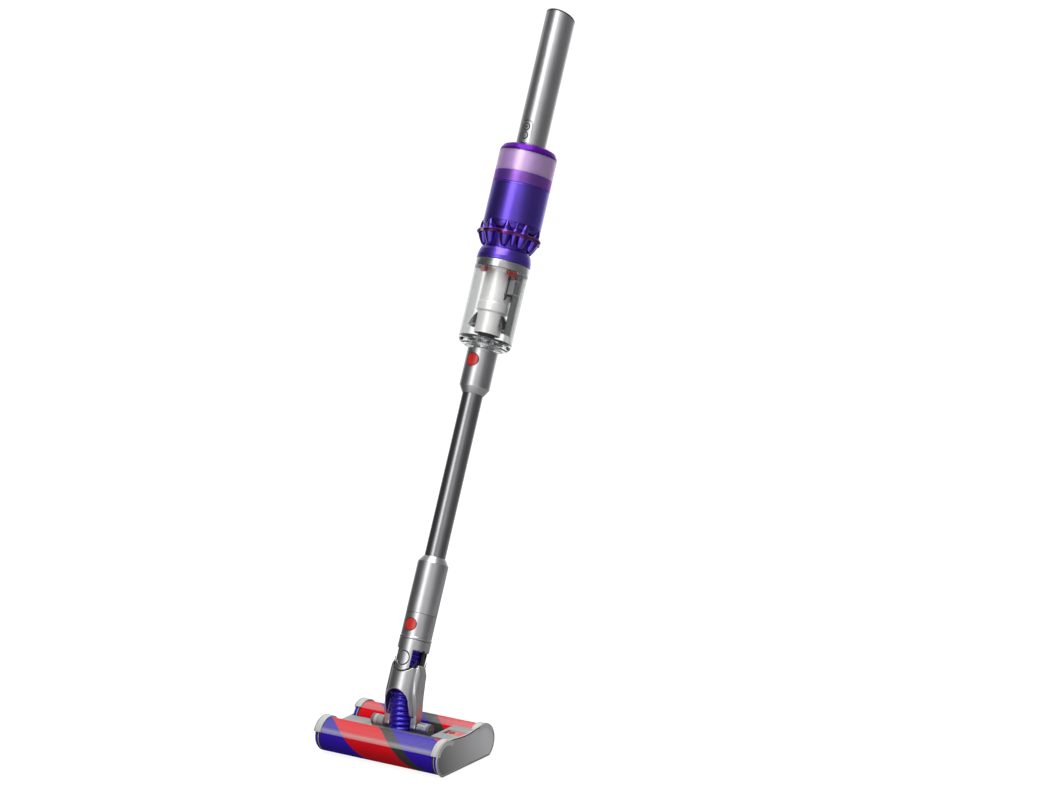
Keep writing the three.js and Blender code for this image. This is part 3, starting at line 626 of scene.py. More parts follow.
def felt_nap(x, y, z):
    """How far the nap stands proud, x along the roller and y, z the way outwards."""
    broad = noise.noise(Vector((x * 0.55, y * 13, z * 13)))
    fine = noise.noise(Vector((x * 1.7, y * 40, z * 40)))
    return 0.14 * broad + 0.06 * fine


def make_roller(name, node, side):
    """A felt-covered tube with a napped surface and rounded ends."""
    half, radius, bore, turn_in = 101.8, 23.6, 19.6, 1.6
    shape = bmesh.new()
    stations = [-half, -half + 0.4, -half + 1.2]
    stations += [-half + 2.4 + k * (2 * half - 4.8) / 150 for k in range(151)]
    stations += [half - 1.2, half - 0.4, half]
    around = circle(1, 200)
    rings = [[shape.verts.new((-half, y * bore, z * bore)) for y, z in around]]
    for x in stations:
        inset = turn_in * max(0.0, 1 - (half - abs(x)) / turn_in) ** 2
        reach = [(y, z, radius - inset + felt_nap(x, y, z)) for y, z in around]
        rings.append([shape.verts.new((x, y * r, z * r)) for y, z, r in reach])
    rings.append([shape.verts.new((half, y * bore, z * bore)) for y, z in around])
    joined(shape, rings, True)
    where = HEAD @ Matrix.Translation((0, side * ROLLER_Y * 0.001, ROLLER_Z * 0.001))
    if side > 0:
        where = where @ Matrix.Rotation(math.pi, 4, "Z") @ Matrix.Rotation(math.radians(33), 4, "X")
    piece(name, shape, where, node, FELT, sharp=50, node=node, slot="felt")


def head_pieces():
    for side, word in ENDS:
        make_roller(f"felt_roller_{word}", f"{word}_roller", side)
    for side, word in ENDS:
        shell = hood_shell(side, 26.0, 24.6, -92.7, 92.7)
        piece(f"clear_hood_{word}", shell, HEAD, "head", CLEAR, 0.35, 25, f"{word}_hood", "clear")

    for sign, word in SIDES:
        plate_radius, top, bottom = (21.5, 33.5, 4.0) if sign < 0 else (26.1, 46.0, 1.4)
        plate = prism(end_outline(plate_radius, top, bottom), sign * PLATE, sign * END)
        if sign > 0:
            plate = cut(plate, prism(end_outline(24.9, 46.0, 2.5), END - 1.1, END + 1))
        parts, gasket = [plate], []
        for side in (-1, 1):
            parts.append(hood_shell(side, 26.2, 24.6, sign * BAND, sign * (END - 0.02)))
            parts.append(hood_shell(side, 25.0, 19.2, sign * (PLATE + 0.02), sign * (END - 0.04)))
            low, high = sign * (END - 1.75), sign * (END - 1.25)
            gasket.append(hood_shell(side, 26.42, 26.0, low, high, HOOD_FROM + 2, HOOD_TO - 2))
        bands = together(*parts)
        piece(f"{word}_end_bands", bands, HEAD, "head", SILVER, 0.45, 28, f"{word}_end_frame", "silver")
        piece(f"{word}_band_seal", together(*gasket), HEAD, "head", RUBBER, 0.1)

    seal = cut(prism(end_outline(24.85, 45.0, 2.55), END - 1.0, END - 0.12),
               prism(end_outline(23.9, 44.0, 3.5), END - 2, END + 1))
    piece("end_cap_seal", seal, HEAD, "head", BLACK)
    rim = cut(prism(end_outline(23.85, 43.95, 3.55), END - 0.85, END - 0.02),
              prism(end_outline(22.9, 43.0, 4.5), END - 2, END + 1))
    piece("end_cap_rim", rim, HEAD, "end_cap", SILVER, 0.15, 28, slot="satin_grey")
    face = prism(end_outline(22.85, 42.95, 4.55), END - 0.7, END - 0.12)
    piece("end_cap_panel", face, HEAD, "end_cap", PANEL_PAINTED_LIGHT, 0.25, 28, "right_end_cap", "satin_grey")

    deck = prism(rounded(-101.9, -52, -18.9, 18.9, 1.5), 31.5, 33.5, "z")
    ribs = [block(-60 - k * 1.9, -59.1 - k * 1.9, -17.2, 17.2, 33.3, 33.75) for k in range(3)]
    piece("left_deck_plate", together(deck, *ribs), HEAD, "head", DECK, 0.5, 28, "left_deck", "deck_grey")

    body = block(65, 101.9, -28.4, 28.4, 31.5, 45.9)
    tools = [disc(26.55, 60, 110, "x", side * ROLLER_Y, ROLLER_Z, 128) for side in (-1, 1)]
    tools.append(prism(rounded(70.5, 103, -8, 8, 2.5), 43.6, 47, "z"))
    piece("right_deck_block", cut(body, *tools), HEAD, "head", DECK, 0.5, 28, "right_deck", "deck_grey")
    slab = prism(rounded(75.6, 101.2, -7.4, 7.4, 2.2), 43.9, 45.5, "z")
    dish = spun([(0, 44.4), (4.6, 44.4), (4.6, 45.8), (3.7, 46.0), (2.8, 45.6), (0, 45.5)], 0.3, 48)
    shifted(dish, 81.2)
    grips = [prism(rounded(x, x + 1, -5.4, 5.4, 0.3), 45.3, 45.85, "z") for x in (90, 92.6, 95.2)]
    bed = prism(rounded(70.7, 101.8, -7.8, 7.8, 2.4), 43.62, 43.84, "z")
    piece("latch_bed", bed, HEAD, "head", WINE)
    piece("latch_slab", together(slab, *grips), HEAD, "latch", LATCH, 0.25, 28, "roller_latch", "red")
    piece("latch_dish", dish, HEAD, "latch", WINE, 0.1, 28, slot="red")

    def on_pin(radius, low, high):
        return disc(radius, low, high, "x", PIN_Y, PIN_Z)

    for sign, word in SIDES:
        saddle = soften([(-8.4, 31.5), (6, 31.5), (5.6, PIN_Z), (-8, PIN_Z)], 1.2)
        base = together(prism(saddle, sign * 27.6, sign * 45.6), on_pin(4.8, sign * 16.8, sign * 28),
                        on_pin(7.3, sign * 27, sign * 47.6))
        piece(f"{word}_pin_base", base, HEAD, "head", PEWTER, 0.4, 28, f"{word}_pin_block", "satin_grey")
        rings = [on_pin(8.1, sign * (29.0 + k * 1.9), sign * (30.3 + k * 1.9)) for k in range(5)]
        barrel = together(*rings, on_pin(8.2, sign * 38.6, sign * 43.8))
        metal_here = BARREL if sign < 0 else STEEL
        piece(f"{word}_pin_barrel", barrel, HEAD, "head", metal_here, 0.3, 28, slot="satin_grey")
        cap = fused(on_pin(8.2, sign * 44.3, sign * 48.0), on_pin(2.6, sign * 44.5, sign * 48.4))
        piece(f"{word}_pin_end", cap, HEAD, "head", PEWTER, 0.6, 28, slot="satin_grey")

    for (side, along_word), (sign, word) in itertools.product(ENDS, SIDES):
        castor, centre = f"{along_word}_{word}", (sign * 80, side * 9.8 + 3, 6)
        tread = spun([(3.4, -3), (5.2, -3), (6, -2), (6, 2), (5.2, 3), (3.4, 3)], 0.6, 64)
        hub = ring(0, 3.3, -2.6, 2.6, 0.4, 48)
        for part in (tread, hub):
            shifted(turned(part, 90, "Y"), *centre)
        piece(f"wheel_tread_{castor}", tread, HEAD, f"wheel_{castor}", RUBBER,
              node=f"castor_wheel_{castor}", slot="rubber_black", origin=centre)
        piece(f"wheel_hub_{castor}", hub, HEAD, f"wheel_{castor}", DARK, slot="rubber_black", origin=centre)


# ---- Neck ----

NECK_R, ROLL_S, ROLL_R, BEHIND = 22.5, 89, 17.5, 16
COLLAR_R, HEAD_KEY_S, WAND_KEY_S = 21.75, 136, 513


def smoothed(shape, voxel=0.6, rounds=6):
    """Rounds every edge a little by remeshing and relaxing."""
    made = loose(shape, "soft")
    remesh = made.modifiers.new("remesh", "REMESH")
    remesh.mode, remesh.voxel_size = "VOXEL", voxel
    relax = made.modifiers.new("relax", "SMOOTH")
    relax.factor, relax.iterations = 0.5, rounds
    bpy.context.view_layer.update()
    mesh = bpy.data.meshes.new_from_object(made.evaluated_get(bpy.context.evaluated_depsgraph_get()))
    bpy.data.objects.remove(made)
    result = bmesh.new()
    result.from_mesh(mesh)
    return result


def fork_side():
    """The fork seen from the side, as y and s."""
    outline = [(-10, 83), (-11, 64, 8), (-8, 43, 14), (4, 15, 10)]
    outline += arc(8.2, 170, 380, 24, (BEHIND, 0))
    outline += [(13, 43, 14), (9, 64, 10), (7, 83)]
    return soften(outline, 1.0)


def fork_shape():
    plan = arc(8, 0, 90, 10, (18.5, 18)) + arc(8, 90, 180, 10, (-18.5, 18))
    plan += arc(11, 180, 270, 14, (-15.5, -1)) + arc(11, 270, 360, 14, (15.5, -1))
    arms = common(prism(fork_side(), -26.5, 26.5), prism(plan, -15, 88, "z"))
    slopes = [shifted(turned(block(0, 20, -40, 40, 0, 40), -21, "Y"), 26.5, 0, 71)]
    slopes.append(moved(slopes[0].copy(), Matrix.Scale(-1, 4, (1, 0, 0))))
    arms = cut(arms, block(-17.1, 17.1, -40, 40, -20, 43), disc(16.6, 42, 89, "z"), *slopes)
    side = [(-30, 79), (-30, 44.6), (-23.5, 44.4), (-13, 30), (-2, 12), (18, 12.2), (18, 44.3), (30, 44.5),
            (30, 79)]
    wall = common(ring(15.6, NECK_R, 10.3, 78, 0, 160), prism(side, -31, 31))
    whole = fused(wall, arms)
    rear_arch = arc(17.1, 0, 180, 40, (0, 28)) + [(-17.1, -12), (17.1, -12)]
    front_arch = [(18.8 * a, 27.2 + 18 * b) for a, b in arc(1, 0, 180, 40)] + [(-18.8, -12), (18.8, -12)]
    whole = cut(whole, disc(ROLL_R + 1.6, -33, 33, "y", 0, ROLL_S, 96), prism(rear_arch, 0, 34, "y"),
                prism(front_arch, -34, 0.1, "y"))
    for side in (-1, 1):
        outline = arc(10, -4, 184, 40, (0, ROLL_S)) + [(-10.05, 60), (10.05, 60)]
        ear = prism(outline, side * 14.8, side * 17.8, "y")
        whole = fused(whole, ear)
    holes = [disc(5.4, -30, 30, "x", BEHIND, 0), disc(4.4, -31, 31, "y", 0, ROLL_S), disc(14.6, 50, 115, "z"),
             disc(16.6, 20, 58, "z")]
    return smoothed(cut(whole, *holes), 0.65, 12)


def knuckle_shape():
    wall = ring(15.4, NECK_R - 0.2, 60, 116.2, 0, 160)
    tongue = arc(ROLL_R, 180, 360, 60, (0, ROLL_S))
    tongue += [(17.5, 104), (30, 104), (30, 121), (-30, 121), (-30, 104), (-17.5, 104)]
    body = cut(common(wall, prism(tongue, -31, 31, "y")), block(-30, 30, -18.5, 18.5, 59, 102))
    seats = [disc(10.4, side * 19.6, side * 30, "y", 0, ROLL_S, 96) for side in (-1, 1)]
    return smoothed(cut(body, disc(4.4, -30, 30, "y", 0, ROLL_S), *seats), 0.5, 3)


def ribbed(path, pitch, start_radius, end_radius, depth, per_rib=10):
    """A hose along a path of points, its wall waving in and out once for each rib."""
    length = sum((b - a).length for a, b in zip(path, path[1:]))
    count = max(2, round(length / pitch * per_rib))
    steps = resample(path, count)

    def section(t):
        wave = 0.5 + 0.5 * math.cos(TURN * t * length / pitch)
        narrowing = min(1.0, max(0.0, (t - 0.6) / 0.3))
        r = start_radius + (end_radius - start_radius) * narrowing - depth * wave ** 1.6
        return circle(r, 64)

    return swept(steps, section)


def resample(path, count):
    lengths = [0.0]
    for a, b in zip(path, path[1:]):
        lengths.append(lengths[-1] + (b - a).length)
    out, i = [], 0
    for k in range(count):
        want = lengths[-1] * k / (count - 1)
        while i < len(path) - 2 and lengths[i + 1] < want:
            i += 1
        t = (want - lengths[i]) / max(1e-9, lengths[i + 1] - lengths[i])
        out.append(path[i].lerp(path[i + 1], t))
    return out


def bezier(a, b, c, d, count=60):
    return [a * (1 - t) ** 3 + b * 3 * t * (1 - t) ** 2 + c * 3 * t * t * (1 - t) + d * t ** 3
            for t in [k / count for k in range(count + 1)]]


def hoses():
    """The corrugated hose in two lengths, the lower one set in the floor head's frame and the upper one in
    the stick's.
    """
    to_head = HEAD.inverted() @ STICK
    port = Vector((0, -6.4, 31.6))
    bend, top = [(to_head @ Vector((0, 0, s * 0.001))) * 1000 for s in (32, 58)]
    path = bezier(port, port + Vector((0, 0, 22)), bend, top)
    lower = piece("neck_hose_lower", ribbed(path, 6.6, 16.6, 15.0, 2.1), HEAD, None, HOSE, sharp=80,
                  node="hose_lower", slot="hose")
    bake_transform(lower)
    straight = [Vector((0, 0, 58.2 + k * 0.55)) for k in range(101)]
    upper = piece("neck_hose_upper", ribbed(straight, 6.6, 13.6, 13.6, 2.0), STICK, None, HOSE, sharp=80,
                  node="hose_upper", slot="hose")
    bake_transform(upper)


def pocket(s, radius):
    """What a button's hole takes out of the front of a tube."""
    return disc(radius, -30, -17.75, "y", 0, s, 96)


def pocket_floor(name, s, radius, body):
    """The dark floor behind a button."""
    skin(name, disc(radius, -18.4, -17.9, "y", 0, s), body, BLACK)


def under(shape, radius, low, high, segments=192):
    """Keeps what lies inside a round bar about z, so that an outer face follows the tube."""
    return common(shape, ring(0, radius, low, high, 0, segments))


def round_key(name, s, radius, outer, body, node):
    """A round red button whose face follows the tube, with a soft rim."""
    plug = under(disc(radius, -30, -20.15, "y", 0, s, 96), outer, s - 20, s + 20)
    piece(name, plug, STICK, body, RED, 0.7, 40, node, "red")


def neck_pieces():
    piece("fork_casting", fork_shape(), STICK, "yoke", NICKEL, sharp=60, node="neck_yoke", slot="nickel")
    knuckle = knuckle_shape()
    piece("knuckle_casting", knuckle, STICK, "neck", NICKEL, sharp=60, node="neck_knuckle", slot="nickel")
    for side, word in ENDS:
        head = under(disc(9.3, side * 20.1, side * 30, "y", 0, ROLL_S, 128), NECK_R + 0.05, 60, 120)
        piece(f"roll_pin_{word}_head", head, STICK, "neck", NICKEL, 0.5, 40, f"roll_pin_{word}", "nickel")
        shade_ring = cut(disc(10.3, side * 19.65, side * 19.95, "y", 0, ROLL_S, 96),
                         disc(4.2, -30, 30, "y", 0, ROLL_S))
        piece(f"roll_pin_{word}_shade", shade_ring, STICK, "neck", BLACK)
        shank = disc(3.9, side * 14.9, side * 20.4, "y", 0, ROLL_S)
        piece(f"roll_pin_{word}_shank", shank, STICK, "neck", STEEL, 0.3)
    liner = cut(ring(15.5, 17.9, 84, 104), block(-30, 30, -30, 1, 80, 110), block(-30, 30, 14.6, 30, 80, 110))
    lintel = cut(ring(15.5, 17.9, 101.5, 104), block(-30, 30, 1.2, 30, 80, 110),
                 block(-30, 30, -30, -14.6, 80, 110))
    piece("neck_liner", together(liner, lintel), STICK, "neck", BLACK, 0.3)
    for side, word in ENDS:
        shadow = cut(disc(ROLL_R + 2.1, side * 12, side * 30, "y", 0, ROLL_S, 96),
                     disc(ROLL_R + 0.1, -30, 30, "y", 0, ROLL_S, 96),
                     block(-30, 30, -30, 30, ROLL_S + 1, 130))
        shadow = common(shadow, ring(18, NECK_R - 0.35, 60, 120))
        piece(f"nest_shadow_{word}", shadow, STICK, "yoke", BLACK)
    collar = spun([(10, 116.8), (NECK_R, 116.8), (NECK_R, 119.4, 0.8), (COLLAR_R, 120.6, 0.8),
                   (COLLAR_R, 152.9), (12.2, 152.9), (12.2, 171), (10, 171)], 0.35, 192)
    collar = cut(collar, pocket(HEAD_KEY_S, 9.3))
    skin("neck_collar_skin", collar, "neck", NICKEL, node="neck_collar", slot="nickel")
    pocket_floor("neck_well", HEAD_KEY_S, 9.25, "neck")
    round_key("head_key", HEAD_KEY_S, 8.35, 22.1, "head_key", "head_release_button")
    hoses()


# ---- Wand ----

def wand_pieces():
    lower = spun([(15.1, 165), (12.7, 165), (12.7, 153.3), (COLLAR_R, 153.3), (COLLAR_R, 225, 2.5),
                  (15.4, 234), (15.1, 234)], 0.4, 192)
    skin("lower_collar_skin", lower, "wand", NICKEL, node="lower_collar", slot="nickel")
    tube = ring(12.6, 14.75, 165.4, 548, 0.3, 192)
    skin("wand_skin", tube, "wand", WAND, node="wand_tube", slot="wand_metal")
    upper = spun([(15.1, 467), (15.4, 467), (21.5, 477, 2.5), (21.5, 530), (15.1, 530)], 0.4, 192)
    upper = cut(upper, pocket(WAND_KEY_S, 9.6))
    skin("upper_collar_skin", upper, "wand", NICKEL, node="upper_collar", slot="nickel")
    pocket_floor("wand_well", WAND_KEY_S, 9.55, "wand")
    round_key("wand_key_cap", WAND_KEY_S, 8.7, 21.85, "wand_key", "wand_release_button")
    for s in (231.5, 470.2):
        piece(f"wand_seal_{int(s)}", ring(14.85, 16.4, s - 0.8, s + 0.8, 0.3), STICK, "wand", RUBBER)


# ---- Bin ----

BIN_R = 37.75

def fan(reach, low, high, bearings):
    """A wedge from the axis through the given bearings, counted from the front towards +x."""
    edge = [(reach * math.sin(math.radians(t)), -reach * math.cos(math.radians(t))) for t in bearings]
    return prism([(0, 0), *edge], low, high, "z")


def bin_pieces():
    skin("bin_wall", ring(35.6, BIN_R, 545.3, 644.5, 0.5, 192), "bin", BIN, node="bin_shell", slot="clear")
    hub = 15.3
    outside = [(hub, 532), (27, 532, 2), (33.5, 534.2, 4), (37, 539.5, 4), (BIN_R, 545), (35.5, 545)]
    inside = [(34.6, 541, 2), (31, 537.4, 2), (26, 535.6, 1), (24, 537.4, 1), (22, 535.4, 1), (18.4, 535.4),
              (18.4, 544), (hub, 544)]
    base = spun(outside + inside, 0.4, 192)
    skin("bin_floor", base, "bin", BASE, node="bin_base", slot="clear")
    # Painted reflection: these black ribs under the clear base stand in for the dark surroundings seen
    # through it.
    streak_outline = [(-34.2, 541.5), (-24.4, 537.6), (-19, 536), (-19, 539.5), (-26, 541), (-33, 545)]
    ribs = [turned(prism(streak_outline, -0.9, 0.9), 15 + k * 30) for k in range(12)]
    piece("bin_floor_painted_reflection_ribs", together(*ribs), STICK, "bin", BLACK, 0.2)
    seal = spun([(32.6, 543.4), (35.3, 543.4), (35.3, 546.2), (32.6, 545.2)], 0.5, 160)
    piece("bin_floor_seal", seal, STICK, "bin", BLACK)
    rim = spun([(34.6, 644.8), (37.8, 644.8), (38.05, 649.5), (37.8, 655.3), (34.6, 655.3)], 0.7, 192)
    skin("bin_rim_band", rim, "bin", RIM, node="bin_rim", slot="silver")
    piece("bin_lip", ring(37.0, 38.25, 642.2, 644.2, 0.5, 192), STICK, "bin", BASE)
    piece("bin_rim_line", ring(36.4, 37.7, 644.2, 645.0, 0.2, 192), STICK, "bin", DARK)
    pad = prism(rounded(-9, 9, 633.5, 651.5, 2.5), 38.35, 42.3, "y")
    ridges = [prism(rounded(-6.5, 6.5, s, s + 1.3, 0.5), 42.1, 43.1, "y") for s in (636, 639, 642)]
    piece("release_pad", together(pad, *ridges), STICK, "bin_release", RED, 0.5, 30, "bin_release", "red")


def inside_bin():
    """The shroud, skirt, inlet and baffle that hang down into the bin from the motor unit."""
    unit = "motor_unit"
    shroud = spun([(17.6, 553), (19, 553), (19, 566), (19.6, 583, 1), (22.4, 585.5, 1), (22.4, 596, 1),
                   (21.6, 598.5, 0.8), (21.6, 641, 1.5), (24, 646, 1.5), (24, 652.5), (17.6, 652.5)],
                  0.4, 192)
    shroud = cut(shroud, turned(block(0, 40, -8, 8, 610, 635), -5))
    skin("shroud_skin", shroud, unit, SHROUD, node="shroud", slot="silver")
    hoops = [spun([(21.4, s), (22.0, s + 0.15), (22.0, s + 0.85), (21.4, s + 1.0)], 0.2, 160)
             for s in (600.5, 604, 639.5)]
    skin("shroud_hoops", together(*hoops), unit, SHROUD)
    skirt = spun([(20, 566), (27.6, 561.6, 0.5), (28.8, 562.4, 0.5), (28.2, 565, 1), (24.2, 575, 3),
                  (20, 582)], 0.4, 160)
    skirt = cut(skirt, fan(45, 550, 590, (-45, 15, 75)))
    skin("skirt_cone", skirt, unit, SMOKE, node="shroud_skirt", slot="rubber_black")
    pipe = spun([(10, 550), (12, 550), (12, 640), (0, 641), (0, 638), (10, 638)], 0.4)
    piece("inlet_pipe", pipe, STICK, unit, BLACK, 0.5, 30, "inlet_duct", "inner_black")
    scoop = turned(cut(block(8, 33.5, -7.4, 7.4, 612, 633), block(7, 34, -5.8, 5.8, 614, 631)), -5)
    piece("inlet_scoop", scoop, STICK, unit, SATIN, 0.5, 30, slot="inner_black")
    fin = [(18, 600), (25.5, 606), (25.5, 641), (18, 643)]
    fins = [turned(prism(fin, -0.8, 0.8), turn) for turn in (-68, -112)]
    piece("inlet_vanes", together(*fins), STICK, unit, BLACK, 0.3)
    baffle = cut(ring(31.5, 32.6, 556, 640), fan(60, 550, 650, (128, 180, 240, 300, 360, 438)))
    piece("bin_baffle", baffle, STICK, unit, HAZE)


def bin_catches():
    for word, turn, half in (("left", -19, 5), ("right", 63, 7.5)):
        hook = prism(rounded(-half, half, 636.5, 643.3, 1.6), -33.5, -27.6, "y")
        arm = block(-half + 2, half - 2, -30.3, -27.5, 643, 650.4)
        catch = turned(together(hook, arm), turn)
        piece(f"catch_{word}_hook", catch, STICK, f"catch_{word}", RED, 0.5, 30, f"bin_catch_{word}", "red")


# ---- Cyclones, motor and filter ----

CYCLONES, FIRST = 9, 23
FILTER_R = 40.8


def cone(tip=16.5, girth=1.0):
    profile = [(0, -21.5), (2.6, -21), (5.0, -17.5), (7.2, -10.5), (8.6, -4), (8.8, 1), (7.8, 3.0),
               (6.1, 3.8), (5.7, 5.5), (4.9, 0.55 * tip), (2.7, 0.84 * tip), (0, tip)]
    return spun([(r * girth, z) for r, z in profile], 1.2, 48)


def crown_pieces():
    unit = "motor_unit"
    collar = spun([(25, 655.8), (38.0, 655.8), (38.25, 661.5, 2), (36.6, 668.5, 3), (34.6, 672.8, 1.2),
                   (25, 672.8)], 0.6, 192)
    skin("cyclone_collar_skin", collar, unit, VIOLET, node="cyclone_collar", slot="violet_metal")
    piece("collar_step", ring(36.9, 38.55, 656.4, 657.9, 0.3, 192), STICK, unit, VIOLET)
    whole = [spun([(25, 673.2), (31.5, 673.2), (33, 686, 6), (36, 698, 4), (40.9, 706, 2), (40.9, 709.8),
                   (25, 709.8)], 0.6, 160)]
    for k in range(CYCLONES):
        whole.append(turned(shifted(turned(cone(), 13, "X"), 0, -36.4, 695.6), FIRST + k * 360 / CYCLONES))
    whole.append(turned(shifted(turned(cone(14, 0.62), 13, "X"), 0, -38.6, 696.5), FIRST + 20))
    trimmed = [cut(part, ring(0, 60, 660, 673.2), ring(20, 41.15, 710, 730)) for part in whole]
    piece("cyclone_cones", together(*trimmed), STICK, unit, CONE, sharp=45, node="cyclone_crown",
          slot="violet_plastic")
    path, count = [], 216
    for k in range(count):
        turn = k * TURN / count
        swell = 0.5 + 0.5 * math.cos(CYCLONES * (turn - math.radians(FIRST)))
        radius = 42.6 + 2.5 * swell ** 1.3
        path.append(Vector((radius * math.sin(turn), -radius * math.cos(turn), 694.6 - 1.5 * swell)))
    oval = [(1.4 * x, 2.7 * y) for x, y in circle(1, 16)]
    band = swept(path, oval, True)
    piece("crown_band", band, STICK, unit, BURGUNDY, sharp=70, node="crown_ring", slot="burgundy")


def motor_pieces():
    case = spun([(30, 710.3), (41, 710.3), (41, 765.8, 0.8), (24, 765.8), (24, 763), (38.6, 763), (38.6, 713),
                 (30, 713)], 0.5, 192)
    skin("motor_case", case, "motor_unit", VIOLET, node="motor_housing", slot="violet_metal")
    piece("motor_case_line", ring(40.6, 41.12, 762.7, 763.4, 0.15, 192), STICK, "motor_unit", CONE)


def paper_folds():
    """A ring of folded paper, each third point standing proud."""
    shape, count = bmesh.new(), 288
    rings = []
    for s in (782.9, 784.2, 790, 796, 803, 810.2, 811.4):
        inset = 0.7 if s in (782.9, 811.4) else 0.0
        reach = [(38.3 if k % 3 == 0 else 37.4) - inset for k in range(count)]
        rings.append([shape.verts.new((y * r, -x * r, s)) for r, (x, y) in zip(reach, circle(1, count))])
    for s in (811.4, 782.9):
        rings.append([shape.verts.new((y, -x, s)) for x, y in circle(30, count)])
    return joined(shape, rings, True)


def filter_pieces():
    dome = spun([(21.8, 821.6), (22.2, 823.9, 0.6), (29.5, 823.9, 4), (36.6, 821.0, 4), (40.2, 815.0, 3),
                 (FILTER_R, 812.1), (38.7, 812.1), (38.4, 814.5, 2), (34.6, 819.1, 3), (29, 821.5, 2)],
                0.5, 192)
    skin("filter_dome", dome, "filter", PURPLE, node="filter_cover", slot="purple_clear")
    window = ring(39.3, FILTER_R, 782.7, 811.8, 0.3, 192)
    skin("filter_window", window, "filter", LILAC, slot="purple_clear")
    band = ring(39.0, FILTER_R, 766.5, 782.4, 0.4, 192)
    skin("filter_band", band, "filter", BAND_TINT, slot="purple_clear")
    piece("filter_stripe", ring(37.4, 38.9, 774.2, 776.8, 0.3, 192), STICK, "filter", BLACK)
    foot_ring = spun([(22.6, 766.9), (38.2, 766.9), (38.2, 769.4, 0.4), (37.0, 770), (37.0, 779),
                      (38.2, 779.6), (38.2, 782.6), (22.6, 782.6)], 0.3, 160)
    skin("filter_foot", foot_ring, "filter", FOOT)
    piece("filter_folds", paper_folds(), STICK, "filter", PLEAT, sharp=50, node="filter_pleats", slot="pleat")
    hoops = [spun([(38.0, s), (38.9, s + 0.2), (38.9, s + 1.0), (38.0, s + 1.2)], 0.2, 160)
             for s in (783.2, 785.6, 809.8)]
    skin("filter_hoops", together(*hoops), "filter", LILAC_SOLID)


# ---- Handle ----

SLOPE, TOP, GRIP_R = 18, 1015, 21.2
KEYS = (("power", 849), ("boost", 836.5))


def sloped(shape, lowered=0.0):
    """Sets a shape built round the origin onto the handle's slanted end."""
    return shifted(turned(shape, -SLOPE, "X"), 0, 0, TOP - lowered)


def between_slopes(shape, upper, lower):
    """Keeps what lies between two planes, each so far below the slanted end."""
    return cut(shape, sloped(block(-60, 60, -60, 60, 0, 90), upper),
               sloped(block(-60, 60, -60, 60, -160, 0), lower))


def arch(half, low, high, back):
    """A tall plate with a round top, thick in y."""
    foot_line = soften([(-half, low, 1.6), (half, low, 1.6)], 1.6, closed=False)
    return prism(foot_line + arc(half, 0, 180, 40, (0, high)), -30, back, "y")


def key_disc(radius, back, s):
    return disc(radius, -30, back, "y", 0, s)


def handle_pieces():
    body = "power_handle"
    grip = spun([(18.3, 770), (20.4, 770), (20.4, 824.5), (GRIP_R, 825.5, 0.5), (GRIP_R, 1045), (18.3, 1045)],
                0.3, 192)
    grip = cut(grip, arch(9.3, 825.6, 850, -19.1), sloped(block(-60, 60, -60, 60, 0, 90), 2.3))
    skin("grip_skin", grip, body, NICKEL, node="handle_tube", slot="nickel")
    seal = under(arch(9.25, 825.7, 850, -18.9), 20.0, 800, 880)
    seal = cut(seal, *[key_disc(5.35, 0, s) for _, s in KEYS])
    piece("key_panel_seal", seal, STICK, body, BLACK, sharp=34)
    plate = under(arch(8.3, 826.6, 850, -19.4), 21.05, 800, 880)
    plate = cut(plate, *[key_disc(5.4, 0, s) for _, s in KEYS])
    piece("key_panel", plate, STICK, body, NICKEL, 0.25, 34, "button_panel", "satin_grey")
    for word, s in KEYS:
        well = under(key_disc(5.3, -18.6, s), 20.3, s - 9, s + 9, 128)
        piece(f"{word}_key_well", cut(well, key_disc(4.3, -19.4, s)), STICK, body, BLACK, sharp=34)
        cap = under(key_disc(4.0, -20.25, s), 21.55, s - 9, s + 9)
        piece(f"{word}_key_cap", cap, STICK, f"{word}_key", NICKEL, 0.5, 34, f"{word}_button", "satin_grey")
    power_s, boost_s = KEYS[0][1], KEYS[1][1]
    dot = under(disc(1.5, -30, -20.6, "y", 0, power_s, 40), 21.68, 840, 860)
    piece("power_key_dot", dot, STICK, "power_key", DARK, sharp=34)
    bar = prism(rounded(-2.0, 2.0, boost_s - 0.5, boost_s + 0.5, 0.4), -30, -20.6, "y")
    piece("boost_key_bar", under(bar, 21.68, 825, 848), STICK, "boost_key", DARK, sharp=34)
    socket = sloped(block(-3.6, 3.6, -4.1, 4.1, -6, 2))
    lid = cut(between_slopes(ring(0, GRIP_R, 960, 1050, 0, 192), 0, 2.1), socket)
    piece("end_lid", lid, STICK, body, DARK, 0.5, 34, "handle_end_cap", "chassis_black")
    end_ring = between_slopes(ring(14.5, 15.6, 960, 1050), -0.15, 0.4)
    piece("end_ring", end_ring, STICK, body, STEEL, sharp=34)
    plug = between_slopes(ring(0, 17.9, 985, 1050), 1.4, 5)
    piece("end_plug", plug, STICK, body, BLACK, sharp=34)


CAD_LOOKS = {
    "head_chassis": DARK, "front_roller_motor": BLACK, "rear_roller_motor": BLACK, "motor_stator": COPPER,
    "motor_rotor": STEEL, "battery_pack": CELL,
    "castor_fork_front_left": DARK, "castor_fork_front_right": DARK,
    "castor_fork_rear_left": DARK, "castor_fork_rear_right": DARK,
}


def dress_cad():
    """Materials and softened edges for the CAD nodes that no Blender piece replaces."""
    for name, material in CAD_LOOKS.items():
        node = frame["nodes"][name]
        node.data.materials.clear()
        node.data.materials.append(material)
        if name.startswith(("head", "castor")):
            rounding = node.modifiers.new("edges", "BEVEL")
            rounding.width, rounding.segments, rounding.limit_method = 0.0004, 2, "ANGLE"


# ---- Studio ----

